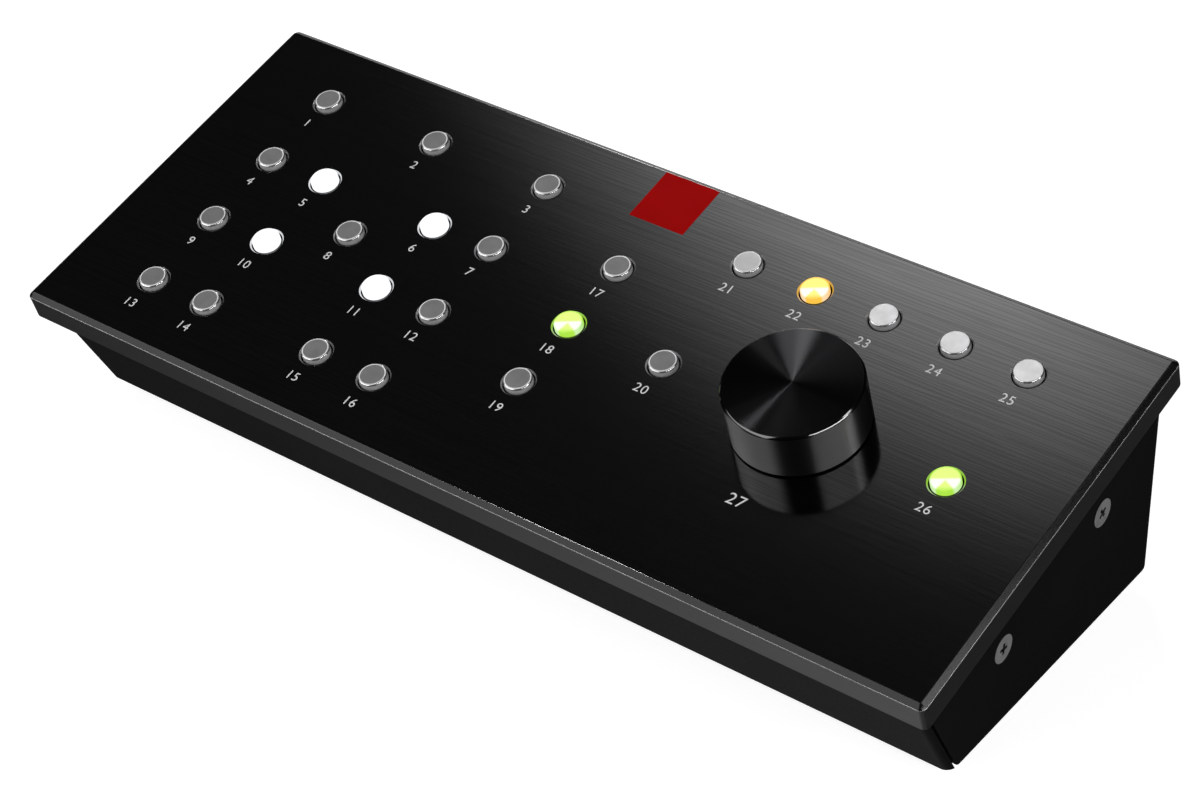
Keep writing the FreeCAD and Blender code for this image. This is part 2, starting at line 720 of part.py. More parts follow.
def make_chassis():
    """Bent sheet: front wall with rounded ends, bottom with end flanges, rear wall."""
    body = new_body("chassis")
    block = new_sketch(body, "YZ_Plane", "-layout.side_x")
    outline(block, (front_line("0", "layout.floor_z"), front_line("2 * dims.front_bend", "layout.floor_z"),
                    under_plate("2 * dims.front_bend"), under_plate("0")))
    pad(body, block, "2 * layout.side_x")
    front_y = layout.front_y
    lip_y = layout.lip_y
    floor_z = layout.floor_z
    lip_z = layout.lip_z
    side_x = layout.side_x
    fillet(body, "dims.front_bend",
           lambda edge: near(abs(middle(edge).x), side_x) and near(middle(edge).y, (front_y + lip_y) / 2)
           and near(middle(edge).z, (floor_z + lip_z) / 2))
    hollow = new_sketch(body, "YZ_Plane", "-layout.half_width")
    above = "2 * dims.panel_height"
    outline(hollow, (front_line("dims.sheet", "-" + above), front_line("2 * dims.case_depth", "-" + above),
                     front_line("2 * dims.case_depth", above), front_line("dims.sheet", above)))
    pocket(body, hollow, "2 * layout.half_width", backwards=True)
    tray = new_sketch(body, "YZ_Plane", "-layout.inner_x + dims.seam_gap")
    outline(tray, (front_line("0", "layout.floor_z"), ("layout.rear_y", "layout.floor_z"),
                   rear_under_plate("0"), rear_under_plate("dims.sheet"),
                   ("layout.rear_y - dims.sheet", "layout.inner_z"), front_line("0", "layout.inner_z")))
    pad(body, tray, "2 * (layout.inner_x - dims.seam_gap)")
    for side in ("-layout.inner_x + dims.seam_gap", "layout.inner_x - dims.seam_gap - dims.sheet"):
        flange = new_sketch(body, "YZ_Plane", side)
        outline(flange, (front_line("dims.sheet + dims.front_seam", "layout.floor_z"),
                         ("layout.rear_y", "layout.floor_z"),
                         ("layout.rear_y", "layout.inner_z + dims.end_flange"),
                         front_line("dims.sheet + dims.front_seam", "layout.inner_z + dims.end_flange")))
        pad(body, flange, "dims.sheet")
    fillet(body, "dims.bottom_bend",
           lambda edge: is_line(edge) and near(middle(edge).z, floor_z) and near(middle(edge).x, 0))
    sockets = new_sketch(body, "XZ_Plane", "-layout.rear_y")
    centred_box(sockets, "-dims.usb_place", "layout.usb_middle_z",
                "dims.usb_width + 2 * dims.cutout_clearance", "dims.usb_height + 2 * dims.cutout_clearance")
    centred_box(sockets, "dims.net_place", "layout.io_top + dims.net_height / 2",
                "dims.net_width + 2 * dims.cutout_clearance", "dims.net_height + 2 * dims.cutout_clearance")
    pocket(body, sockets, "2 * dims.sheet", backwards=True)


def make_side_panel(name, sign):
    """Flat side wall with rounded lower corners and two countersunk holes."""
    body = new_body(name)
    setback = "dims.sheet + dims.front_seam"
    inner = "layout.inner_x" if sign > 0 else "-layout.side_x"
    sketch = new_sketch(body, "YZ_Plane", inner)
    outline(sketch, (front_line(setback, "layout.floor_z"), ("layout.rear_y", "layout.floor_z"),
                     rear_under_plate("0"), under_plate(setback)))
    pad(body, sketch, "dims.side_sheet")
    floor_z = layout.floor_z
    fillet(body, "dims.side_corner_radius",
           lambda edge: near(middle(edge).z, floor_z) and near(abs(middle(edge).x), layout.side_x
                                                               - dims.side_sheet / 2))
    return body


def side_screw_places(sign):
    """Row-frame (y, z) of the two side screws, which lie on a line parallel to the plate."""
    places = []
    for along in ("layout.side_screw_rear", "-layout.side_screw_front"):
        y_rule = ("layout.panel_y + %s * cos(dims.panel_tilt)"
                  " + dims.side_screw_drop * sin(dims.panel_tilt)" % along)
        z_rule = ("dims.panel_height + %s * sin(dims.panel_tilt)"
                  " - dims.side_screw_drop * cos(dims.panel_tilt)" % along)
        places.append((y_rule, z_rule))
    return places


def countersink(panel, sign):
    """Cone-shaped screw seats, turned out of the panel's outer face."""
    for y_rule, z_rule in side_screw_places(sign):
        sketch = new_sketch(panel, "XZ_Plane", "-(%s)" % y_rule)
        reach = "dims.countersunk_radius + dims.countersink_clearance"
        shank = "dims.screw_radius + dims.countersink_clearance"
        outer = "%d * (layout.side_x + dims.side_sheet)" % sign
        mouth = "%d * layout.side_x" % sign
        throat = "%d * (layout.side_x - dims.countersunk_radius + dims.screw_radius)" % sign
        inner = "%d * (layout.inner_x - dims.side_sheet)" % sign
        outline(sketch, ((outer, z_rule), (outer, "%s + %s" % (z_rule, reach)),
                         (mouth, "%s + %s" % (z_rule, reach)), (throat, "%s + %s" % (z_rule, shank)),
                         (inner, "%s + %s" % (z_rule, shank)), (inner, z_rule)))
        doc.recompute()
        before = panel.Shape.Volume
        groove = panel.newObject("PartDesign::Groove", panel.Name + "_countersink")
        groove.Profile = sketch
        row = sketch.GeometryCount - 1
        groove.ReferenceAxis = (sketch, ["Edge%d" % (row + 1)])
        groove.Angle = 360
        doc.recompute()
        if panel.Shape.Volume >= before:
            raise RuntimeError("%s: a countersink cuts nothing" % panel.Label)


def make_side_screws():
    """Countersunk M3 screws with a cross recess; the axis lies along X."""
    master = new_body("side_screw", exported=False)
    sketch = new_sketch(master, "XZ_Plane")
    outline(sketch, (
        ("0", "0"),
        ("0", "dims.countersunk_radius"),
        ("dims.screw_radius - dims.countersunk_radius", "dims.screw_radius"),
        ("-dims.side_screw_length", "dims.screw_radius"),
        ("-dims.side_screw_length", "0")))
    revolve(master, sketch, "H_Axis")
    arms = ("dims.recess_slot", "2 * dims.recess_arm")
    for width, height in (arms, arms[::-1]):
        cross = new_sketch(master, "YZ_Plane")
        centred_box(cross, "0", "0", width, height)
        pocket(master, cross, "dims.recess_depth")
    places = []
    for sign in (-1, 1):
        for y_rule, z_rule in side_screw_places(sign):
            places.append((sign, y_rule, z_rule))
    group("side_screws", master, places, put_side_screw)


def put_side_screw(link, sign, y_rule, z_rule):
    """The left-hand pair is turned half round, so that its heads face outwards."""
    turned = 0 if sign > 0 else 180
    link.Placement = FreeCAD.Placement(FreeCAD.Vector(), FreeCAD.Rotation(FreeCAD.Vector(0, 0, 1), turned))
    put_on_table(link, "%d * layout.side_x" % sign, y_rule, z_rule)


def make_bracket(name, sign):
    """Angle bonded under the plate, with its upright leg flat inside the side wall."""
    body = new_body(name)
    inner = "%d * layout.inner_x" % sign
    leg = "%d * (layout.inner_x - dims.bracket_sheet)" % sign
    tip = "%d * layout.bracket_tip" % sign
    roof = "-dims.plate_thickness"
    sketch = new_sketch(body, "XZ_Plane", "-(layout.side_screw_rear + dims.bracket_margin)")
    outline(sketch, (
        (inner, roof), (inner, roof + " - dims.bracket_drop"), (leg, roof + " - dims.bracket_drop"),
        (leg, roof + " - dims.bracket_sheet"), (tip, roof + " - dims.bracket_sheet"), (tip, roof)))
    pad(body, sketch, "layout.side_screw_rear + layout.side_screw_front + 2 * dims.bracket_margin")
    taps = new_sketch(body, "YZ_Plane", inner)
    for along in ("layout.side_screw_rear", "-layout.side_screw_front"):
        round_hole(taps, along, "-dims.side_screw_drop", "dims.screw_radius + dims.screw_clearance")
    pocket(body, taps, "dims.bracket_sheet", backwards=sign < 0)
    put_on_panel(body)


def make_rubber_feet():
    """Low tapered feet stuck under the bottom, near its four corners."""
    master = new_body("rubber_foot", exported=False)
    sketch = new_sketch(master, "XZ_Plane")
    outline(sketch, (("0", "0"), ("dims.foot_top_radius", "0"), ("dims.foot_radius", "dims.foot_height"),
                     ("0", "dims.foot_height")))
    revolve(master, sketch)
    places = [(sign + "(layout.side_x - dims.foot_inset_x)", y_rule) for sign in ("-", "")
              for y_rule in ("layout.front_y + dims.foot_inset_y", "layout.rear_y - dims.foot_inset_y")]
    group("rubber_feet", master, places, put_on_table)


# ---------------------------------------------------------------------------
# Rear board and sockets
# ---------------------------------------------------------------------------
def io_holes():
    """Two fixings at the board's front; its sockets hold it at the rear wall."""
    return [(sign + "(dims.io_width / 2 - dims.io_hole_inset)", "layout.io_front + dims.io_hole_inset")
            for sign in ("-", "")]


def make_io_board():
    body = new_body("io_board")
    sketch = new_sketch(body, "XY_Plane", "layout.io_top - dims.board_thickness")
    box_outline(sketch, "-dims.io_width / 2", "dims.io_width / 2", "layout.io_front", "layout.io_rear")
    for x_rule, y_rule in io_holes():
        round_hole(sketch, x_rule, y_rule, "dims.screw_radius + dims.screw_clearance")
    pad(body, sketch, "dims.board_thickness")


def make_io_standoffs():
    """Pressed into the bottom sheet."""
    crown = "layout.io_top - dims.board_thickness"
    master = standoff("io_standoff", "layout.inner_z", "dims.io_height", crown, False)
    group("io_standoffs", master, io_holes(), put_on_table)


def make_io_screws():
    master = hex_screw("io_screw", "layout.io_top", False)
    group("io_screws", master, io_holes(), put_on_table)


def usb_mouth(sketch, grow):
    """Square mouth with its two upper corners cut off; grow widens it all round."""
    half_w = "dims.usb_mouth_width / 2 + " + grow
    half_h = "dims.usb_mouth_height / 2 + " + grow
    middle_x = "-dims.usb_place"
    cut = "dims.usb_mouth_chamfer"
    outline(sketch, (
        ("%s - (%s)" % (middle_x, half_w), "layout.usb_middle_z - (%s)" % half_h),
        ("%s + %s" % (middle_x, half_w), "layout.usb_middle_z - (%s)" % half_h),
        ("%s + %s" % (middle_x, half_w), "layout.usb_middle_z + %s - %s" % (half_h, cut)),
        ("%s + %s - %s" % (middle_x, half_w, cut), "layout.usb_middle_z + %s" % half_h),
        ("%s - (%s) + %s" % (middle_x, half_w, cut), "layout.usb_middle_z + %s" % half_h),
        ("%s - (%s)" % (middle_x, half_w), "layout.usb_middle_z + %s - %s" % (half_h, cut))))


def make_usb_shell():
    """Folded metal shell, open towards the front of the unit, with the socket's mouth behind."""
    body = new_body("usb_shell")
    block = new_sketch(body, "XZ_Plane", "-layout.mouth_y")
    centred_box(block, "-dims.usb_place", "layout.usb_middle_z", "dims.usb_width", "dims.usb_height")
    pad(body, block, "dims.usb_length")
    hollow = new_sketch(body, "XZ_Plane", "-layout.mouth_y + dims.usb_length")
    centred_box(hollow, "-dims.usb_place", "layout.usb_middle_z",
                "dims.usb_width - 2 * dims.usb_shell_wall", "dims.usb_height - 2 * dims.usb_shell_wall")
    pocket(body, hollow, "dims.usb_length - dims.usb_shell_wall")
    mouth = new_sketch(body, "XZ_Plane", "-layout.mouth_y")
    usb_mouth(mouth, "0")
    pocket(body, mouth, "dims.usb_shell_wall", backwards=True)


def make_usb_insert():
    """Moulded insert filling the shell: the plug's cavity with its tongue."""
    body = new_body("usb_insert")
    face = "-layout.mouth_y + dims.usb_shell_wall"
    block = new_sketch(body, "XZ_Plane", face)
    centred_box(block, "-dims.usb_place", "layout.usb_middle_z",
                "dims.usb_width - 2 * dims.usb_shell_wall", "dims.usb_height - 2 * dims.usb_shell_wall")
    pad(body, block, "dims.usb_length - dims.usb_shell_wall")
    cavity = new_sketch(body, "XZ_Plane", face)
    usb_mouth(cavity, "0")
    pocket(body, cavity, "dims.usb_mouth_depth", backwards=True)
    tongue = new_sketch(body, "XZ_Plane", face + " + dims.usb_tongue_setback")
    centred_box(tongue, "-dims.usb_place", "layout.usb_middle_z", "dims.usb_tongue_width",
                "dims.usb_tongue_height")
    pad(body, tongue, "dims.usb_mouth_depth - dims.usb_tongue_setback")


def make_usb_contacts():
    """Four spring strips, two on top of the tongue and two below it."""
    strips = []
    length = "dims.usb_contact_length"
    for side in (-1, 1):
        for level in (-1, 1):
            strip = doc.addObject("Part::Box", "usb_contact")
            strip.setExpression("Length", "dims.usb_contact_width")
            strip.setExpression("Width", length)
            strip.setExpression("Height", "dims.usb_contact_thickness")
            lift = "0" if level > 0 else "dims.usb_contact_thickness"
            put_on_table(
                strip,
                "-dims.usb_place + %d * dims.usb_contact_pitch / 2 - dims.usb_contact_width / 2" % side,
                "layout.mouth_y - dims.usb_shell_wall - dims.usb_mouth_depth",
                "layout.usb_middle_z + %d * dims.usb_tongue_height / 2 - %s" % (level, lift))
            strips.append(strip)
    compound = doc.addObject("Part::Compound", "usb_contacts")
    compound.Label = "usb_contacts"
    compound.Links = strips
    parts.append(compound)


def make_network_socket():
    """Black moulded modular socket: stepped mouth, latch slot downwards."""
    body = new_body("network_socket")
    block = new_sketch(body, "XZ_Plane", "-layout.mouth_y")
    centred_box(block, "dims.net_place", "layout.io_top + dims.net_height / 2", "dims.net_width",
                "dims.net_height")
    pad(body, block, "dims.net_length")
    mouth = new_sketch(body, "XZ_Plane", "-layout.mouth_y")
    left = "dims.net_place - %s / 2"
    right = "dims.net_place + %s / 2"
    low = "layout.net_mouth_z"
    latch = low + " - dims.net_latch_height"
    key = latch + " - dims.net_key_height"
    high = low + " + dims.net_mouth_height"
    outline(mouth, (
        (left % "dims.net_mouth_width", high), (left % "dims.net_mouth_width", low),
        (left % "dims.net_latch_width", low), (left % "dims.net_latch_width", latch),
        (left % "dims.net_key_width", latch), (left % "dims.net_key_width", key),
        (right % "dims.net_key_width", key), (right % "dims.net_key_width", latch),
        (right % "dims.net_latch_width", latch), (right % "dims.net_latch_width", low),
        (right % "dims.net_mouth_width", low), (right % "dims.net_mouth_width", high)))
    pocket(body, mouth, "dims.net_mouth_depth", backwards=True)


def make_network_contacts():
    """Eight spring wires that slope down from the roof of the mouth."""
    wires = []
    roof = "layout.net_mouth_z + dims.net_mouth_height"
    front = "layout.mouth_y - dims.net_contact_inset"
    back = "layout.mouth_y - dims.net_mouth_depth"
    for number in range(8):
        wire = new_body("network_contact_%d" % (number + 1), exported=False)
        place = "dims.net_place + %s * dims.net_contact_pitch - dims.net_contact_width / 2" % (number - 3.5)
        sketch = new_sketch(wire, "YZ_Plane", place)
        outline(sketch, (
            (front, roof), (front, roof + " - dims.net_contact_thickness"),
            (back, roof + " - dims.net_contact_drop"),
            (back, roof + " - dims.net_contact_drop + dims.net_contact_thickness")))
        pad(wire, sketch, "dims.net_contact_width")
        wires.append(wire)
    compound = doc.addObject("Part::Compound", "network_contacts")
    compound.Label = "network_contacts"
    compound.Links = wires
    parts.append(compound)


def make_io_header():
    body = new_body("io_header")
    sketch = new_sketch(body, "XY_Plane", "layout.io_top")
    centred_box(sketch, "0", "layout.ribbon_y", "dims.header_width", "dims.header_depth")
    pad(body, sketch, "dims.header_height")


def make_ribbon_cable():
    """Flat cable bent through the panel's tilt, from the rear board up to the main board."""
    body = new_body("ribbon_cable")
    sketch = new_sketch(body, "XY_Plane")
    box_outline(sketch, "-dims.ribbon_width / 2", "dims.ribbon_width / 2",
                "layout.ribbon_bend - dims.ribbon_thickness / 2",
                "layout.ribbon_bend + dims.ribbon_thickness / 2")
    revolve(body, sketch, "H_Axis", "dims.panel_tilt")
    put_on_table(body, "0", "layout.ribbon_y - layout.ribbon_bend", "layout.ribbon_foot_z")


# ---------------------------------------------------------------------------
# Assembly
# ---------------------------------------------------------------------------
def build():
    make_top_plate()
    for number, (x_rule, y_rule) in enumerate(BUTTONS, 1):
        make_button(number, x_rule, y_rule)
    make_key_switches()
    make_key_leds()
    make_main_board()
    make_board_standoffs()
    make_board_screws()
    make_controller_chip()
    make_board_header()
    make_encoder_body()
    make_encoder_shaft()
    make_encoder_washer()
    make_encoder_nut()
    make_volume_knob()
    make_knob_set_screw()
    make_chassis()
    for name, sign in (("left", -1), ("right", 1)):
        countersink(make_side_panel("side_panel_" + name, sign), sign)
        make_bracket("bracket_" + name, sign)
    make_side_screws()
    make_rubber_feet()
    make_io_board()
    make_io_standoffs()
    make_io_screws()
    make_usb_shell()
    make_usb_insert()
    make_usb_contacts()
    make_network_socket()
    make_network_contacts()
    make_io_header()
    make_ribbon_cable()


def check_and_export():
    doc.recompute()
    for item in doc.Objects:
        if "Invalid" in item.State or "Error" in item.State:
            raise RuntimeError("%s failed: %s" % (item.Label, item.State))
    os.makedirs("parts", exist_ok=True)
    for part in parts:
        shape = part.Shape
        if shape.isNull() or not shape.isValid():
            raise RuntimeError("%s has no valid shape" % part.Label)
    for part in parts:
        part.Shape.exportStep("parts/%s.step" % part.Label)
    print("exported %d nodes" % len(parts))


build()
check_and_export()
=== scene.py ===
import math
import bpy
from mathutils import Matrix


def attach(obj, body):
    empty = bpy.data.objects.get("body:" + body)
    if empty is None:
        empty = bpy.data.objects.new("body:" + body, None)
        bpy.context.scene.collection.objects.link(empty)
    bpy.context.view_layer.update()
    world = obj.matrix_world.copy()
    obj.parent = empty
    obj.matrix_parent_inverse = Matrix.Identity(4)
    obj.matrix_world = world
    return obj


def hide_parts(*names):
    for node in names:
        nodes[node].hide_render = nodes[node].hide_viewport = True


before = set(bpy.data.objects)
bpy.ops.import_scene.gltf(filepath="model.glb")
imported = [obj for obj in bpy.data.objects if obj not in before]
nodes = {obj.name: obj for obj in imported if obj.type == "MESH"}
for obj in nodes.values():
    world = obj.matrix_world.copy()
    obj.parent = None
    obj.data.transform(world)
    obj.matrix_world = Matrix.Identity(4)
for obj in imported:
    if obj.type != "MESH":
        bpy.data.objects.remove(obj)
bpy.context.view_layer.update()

scene = bpy.context.scene


# ---------------------------------------------------------------- camera, floor and light
# A long lens looks down on the controller, on its lit pale table, from the user's front right. Two
# soft boxes light it, and small lamps draw the bevel, the knob's rim and the fan on its top. Soft
# glows in the air stand for the bright room that the polished faces mirror.
bpy.ops.object.select_all(action="DESELECT")
CAMERA_TURN = [math.radians(degrees) for degrees in (53.56245, 2.05791, 37.68587)]
bpy.ops.object.camera_add(location=(0.302308, -0.362628, 0.372101), rotation=CAMERA_TURN)
camera = bpy.context.object
camera.name = "camera"
camera.data.sensor_width = 36
camera.data.lens = 88.416
camera.data.clip_start = 0.01
scene.camera = camera
scene.view_settings.view_transform = "Standard"


def soft_box(name, place, aim, width, height, watts):
    """A rectangular soft box at a place, turned to face its aim."""
    away = [place[axis] - aim[axis] for axis in range(3)]
    lean = math.atan2(math.hypot(away[0], away[1]), away[2])
    turn = math.atan2(away[1], away[0]) + math.pi / 2
    bpy.ops.object.light_add(type="AREA", location=place, rotation=(lean, 0, turn))
    lamp = bpy.context.object
    lamp.name = name
    lamp.data.shape = "RECTANGLE"
    lamp.data.size = width
    lamp.data.size_y = height
    lamp.data.energy = watts


OBJECT_MIDDLE = (0, 0, 0.03)
RIGHT_BEVEL = (0.1, 0, 0.03)
KNOB_MIDDLE = (0.055, 0, 0.05)
soft_box("soft_box_front_left", (-0.725, -0.964, 0.70), OBJECT_MIDDLE, 1.67, 0.7, 12.5)
soft_box("soft_box_right", (1.194, -0.23, 0.61), OBJECT_MIDDLE, 1.3, 0.6, 2.6)
soft_box("bevel_lamp", (0.985, 0.221, 0.90), RIGHT_BEVEL, 0.26, 0.25, 1.8)
soft_box("rim_lamp", (1.034, -0.299, 0.767), KNOB_MIDDLE, 1.2, 0.062, 5.6)
soft_box("fan_lamp_low", (-0.664, 0.921, 0.62), KNOB_MIDDLE, 0.12, 0.16, 0.75)
soft_box("fan_lamp_middle", (-0.658, 0.791, 0.796), KNOB_MIDDLE, 0.1, 0.16, 0.9)
soft_box("fan_lamp_high", (-0.697, 0.653, 0.886), KNOB_MIDDLE, 0.1, 0.14, 0.42)
soft_box("fan_lamp_rear", (-0.876, 0.652, 0.68), KNOB_MIDDLE, 0.1, 0.12, 0.2)
soft_box("fan_lamp_side", (-0.613, -0.167, 1.152), KNOB_MIDDLE, 0.1, 0.1, 1.0)

STUDIO_RADIANCE = 0.018
world = bpy.data.worlds.new("studio_air")
scene.world = world
world.use_nodes = True
air = world.node_tree
outwards = air.nodes.new("ShaderNodeTexCoord")


def worked(tree, operation, *values):
    """The outcome of a piece of arithmetic on sockets and plain numbers."""
    step = tree.nodes.new("ShaderNodeMath")
    step.operation = operation
    for place, value in zip(step.inputs, values):
        if isinstance(value, float):
            place.default_value = value
        else:
            tree.links.new(value, place)
    return step.outputs["Value"]


def air_glow(light, way, spread, roll, radiance):
    """Adds a soft bright patch of air, seen in a direction, to the light so far."""
    aimed = air.nodes.new("ShaderNodeMapping")
    aimed.vector_type = "TEXTURE"
    aimed.inputs["Location"].default_value = way
    turned = Matrix.Rotation(math.atan2(way[1], way[0]) + math.pi / 2, 3, "Z")
    turned = turned @ Matrix.Rotation(math.acos(way[2]), 3, "X") @ Matrix.Rotation(roll, 3, "Z")
    aimed.inputs["Rotation"].default_value = turned.to_euler("XYZ")
    aimed.inputs["Scale"].default_value = (*spread, 1)
    air.links.new(outwards.outputs["Generated"], aimed.inputs["Vector"])
    ball = air.nodes.new("ShaderNodeTexGradient")
    ball.gradient_type = "SPHERICAL"
    air.links.new(aimed.outputs["Vector"], ball.inputs["Vector"])
    patch = air.nodes.new("ShaderNodeMapRange")
    patch.interpolation_type = "SMOOTHERSTEP"
    patch.inputs["To Max"].default_value = radiance
    air.links.new(ball.outputs["Fac"], patch.inputs["Value"])
    return worked(air, "ADD", light, patch.outputs["Result"])


# Direction, spread across and up, roll and radiance of each glow.
GLOWS = {
    "sheen across the plate": ((-0.4502, 0.3912, 0.8027), (0.148, 0.234), 0.447, 1.42),
    "backdrop in the rear edge": ((-0.454, 0.891, 0.0), (0.60, 0.14), 0, 2.5),
    "table in the plate's front side": ((-0.20, -0.20, -0.959), (0.6, 0.6), 0, 1.3),
    "table in the front right corner": ((0.499, -0.254, -0.829), (0.16, 0.16), 0, 2.5),
    "horizon in the front edge": ((-0.75, -0.661, 0.0), (0.5, 0.16), 0, 2.5),
}
still_air = air.nodes.new("ShaderNodeValue")
still_air.outputs["Value"].default_value = STUDIO_RADIANCE
light = still_air.outputs["Value"]
for glow in GLOWS.values():
    light = air_glow(light, *glow)
air.nodes["Background"].inputs["Color"].default_value = (1, 1, 1, 1)
air.links.new(light, air.nodes["Background"].inputs["Strength"])

bpy.ops.mesh.primitive_plane_add(size=6, location=(0, 0, 0))
table = bpy.context.object
table.name = "table"
acrylic = bpy.data.materials.new("lit_pale_acrylic")
acrylic.use_nodes = True
sheet_shader = acrylic.node_tree.nodes["Principled BSDF"]
sheet_shader.inputs["Base Color"].default_value = (0.5, 0.5, 0.5, 1)
sheet_shader.inputs["Roughness"].default_value = 0.9
sheet_shader.inputs["Emission Color"].default_value = (1, 1, 1, 1)
sheet_shader.inputs["Emission Strength"].default_value = 0.80
table.data.materials.append(acrylic)
table.visible_glossy = False


# ---------------------------------------------------------------- top plate
# A 6.4 mm aluminium slab with milled bevels, brushed from left to right and anodised black.
# The 26 key holes are countersunk afterwards with a diamond tool, which leaves bright rims.
# It is bonded to the two brackets that the case hangs on.
PANEL_TILT = math.radians(14.7)
PANEL_PLACE = (0, -0.000926214, 0.04315)
PLATE_WIDTH = 0.2195
PLATE_DEPTH = 0.089
PLATE_THICKNESS = 0.0064
BEVEL_WIDTH = 0.0012
BEVEL_DROP = 0.0009
CORNER_RADIUS = 0.0014
EDGE_RADIUS = 0.00012
KEY_PITCH = 0.015
KEY_ROW_PITCH = 0.01925
MODE_PITCH = 0.0165
SOURCE_PITCH = 0.01585
SOURCE_START = 0.110
FIELD_HALF = (SOURCE_START + 4 * SOURCE_PITCH) / 2
HOLE_RADIUS = 0.0033
RIM_RADIUS = 0.0036
RIM_DEPTH = 0.0003
BUSHING_RADIUS = 0.0036
KNOB_X = SOURCE_START + 2 * SOURCE_PITCH - FIELD_HALF


def key_places():
    """Middles of the keys on the plate: speakers, modes, function key, sources and dimmer."""
    speakers = [(0, 0), (2, 0), (4, 0), (0, 1), (1, 1), (3, 1), (4, 1), (2, 1.5)]
    speakers += [(column, row) for row in (2, 3) for column in (0, 1, 3, 4)]
    places = [(KEY_PITCH * column, KEY_ROW_PITCH * (1.5 - row)) for column, row in speakers]
    places += [(0.087, MODE_PITCH * step) for step in (1, 0, -1)]
    places += [(SOURCE_START, 0)]
    places += [(SOURCE_START + SOURCE_PITCH * step, KEY_ROW_PITCH * 1.5) for step in range(5)]
    places += [(SOURCE_START + SOURCE_PITCH * 4, 0)]
    return [(x - FIELD_HALF, y) for x, y in places]


KEYS = key_places()


def clear_selection():
    bpy.ops.object.select_all(action="DESELECT")


def pick(piece, kind, parts, wanted):
    """Into edit mode with just the wanted parts of one kind selected."""
    bpy.ops.object.mode_set(mode="EDIT")
    bpy.ops.mesh.select_mode(type=kind)
    bpy.ops.mesh.select_all(action="DESELECT")
    bpy.ops.object.mode_set(mode="OBJECT")
    for part in getattr(piece.data, parts):
        part.select = bool(wanted(part))
    bpy.ops.object.mode_set(mode="EDIT")


def pick_faces(piece, wanted):
    pick(piece, "FACE", "polygons", wanted)


def pick_corners(piece, wanted):
    pick(piece, "VERT", "vertices", lambda corner: wanted(corner.co))


def pick_edges(piece, wanted):
    """The test gets the places of an edge's two ends."""
    def passes(edge):
        first, last = edge.vertices
        return wanted(piece.data.vertices[first].co, piece.data.vertices[last].co)

    pick(piece, "EDGE", "edges", passes)


def leave_edit():
    bpy.ops.object.mode_set(mode="OBJECT")


def round_edges(piece, width, steps, wanted):
    """Rounds the edges whose two ends pass the test, or cuts them off flat in one step."""
    pick_edges(piece, wanted)
    bpy.ops.mesh.bevel(offset=width, segments=steps, affect="EDGES", profile=0.5)
    leave_edit()


def settle():
    """The active piece's place, turn and size go into its mesh."""
    bpy.ops.object.transform_apply(location=True, rotation=True, scale=True)


def start_block(name, size, place):
    """A rectangular blank of the given size at a place, applied to its mesh."""
    clear_selection()
    bpy.ops.mesh.primitive_cube_add(size=1, location=place)
    blank = bpy.context.object
    blank.name = name
    blank.scale = size
    settle()
    return blank


def start_round(name, radius, length, place, sides=64, turn=(0, 0, 0)):
    """A round blank along Z, or turned, applied to its mesh."""
    clear_selection()
    bpy.ops.mesh.primitive_cylinder_add(vertices=sides, radius=radius, depth=length, location=place,
                                        rotation=turn)
    blank = bpy.context.object
    blank.name = name
    settle()
    return blank


def make_active(piece):
    clear_selection()
    piece.select_set(True)
    bpy.context.view_layer.objects.active = piece


def join(pieces, name):
    """Several blanks become one piece."""
    clear_selection()
    for piece in pieces:
        piece.select_set(True)
    bpy.context.view_layer.objects.active = pieces[0]
    bpy.ops.object.join()
    pieces[0].name = name
    return pieces[0]


def cut_away(piece, cutter):
    """Takes the cutter's shape out of the piece."""
    bite = piece.modifiers.new("cut", "BOOLEAN")
    bite.operation = "DIFFERENCE"
    bite.solver = "EXACT"
    bite.object = cutter
    make_active(piece)
    bpy.ops.object.modifier_apply(modifier="cut")
    bpy.data.objects.remove(cutter)


def lay_on_panel(piece):
    """From the panel's own frame, plate top at zero, to its tilted place in the object."""
    make_active(piece)
    piece.rotation_euler = (PANEL_TILT, 0, 0)
    piece.location = PANEL_PLACE
    settle()


def smooth(piece, degrees=30):
    """Smooth shading round the small edge radii, with the flat faces kept flat."""
    make_active(piece)
    bpy.ops.object.shade_smooth_by_angle(angle=math.radians(degrees))
    even = piece.modifiers.new("even", "WEIGHTED_NORMAL")
    even.keep_sharp = True
    bpy.ops.object.modifier_apply(modifier="even")


def copy_of(piece, name, offset=(0, 0, 0)):
    """A copy with a mesh of its own, moved by an offset that goes into that mesh."""
    twin = piece.copy()
    twin.data = piece.data.copy()
    twin.name = name
    scene.collection.objects.link(twin)
    twin.location = offset
    make_active(twin)
    settle()
    return twin


def shared_effect(name, values, outcomes):
    """An empty effect for many materials, which takes a Vector and numbers and gives numbers."""
    group = bpy.data.node_groups.new(name, "ShaderNodeTree")
    group.interface.new_socket(name="Vector", in_out="INPUT", socket_type="NodeSocketVector")
    number = "NodeSocketFloat"
    for label, value in values.items():
        socket = group.interface.new_socket(name=label, in_out="INPUT", socket_type=number)
        socket.default_value = value
    for label in outcomes:
        group.interface.new_socket(name=label, in_out="OUTPUT", socket_type=number)
    return group, group.nodes.new("NodeGroupInput"), group.nodes.new("NodeGroupOutput")


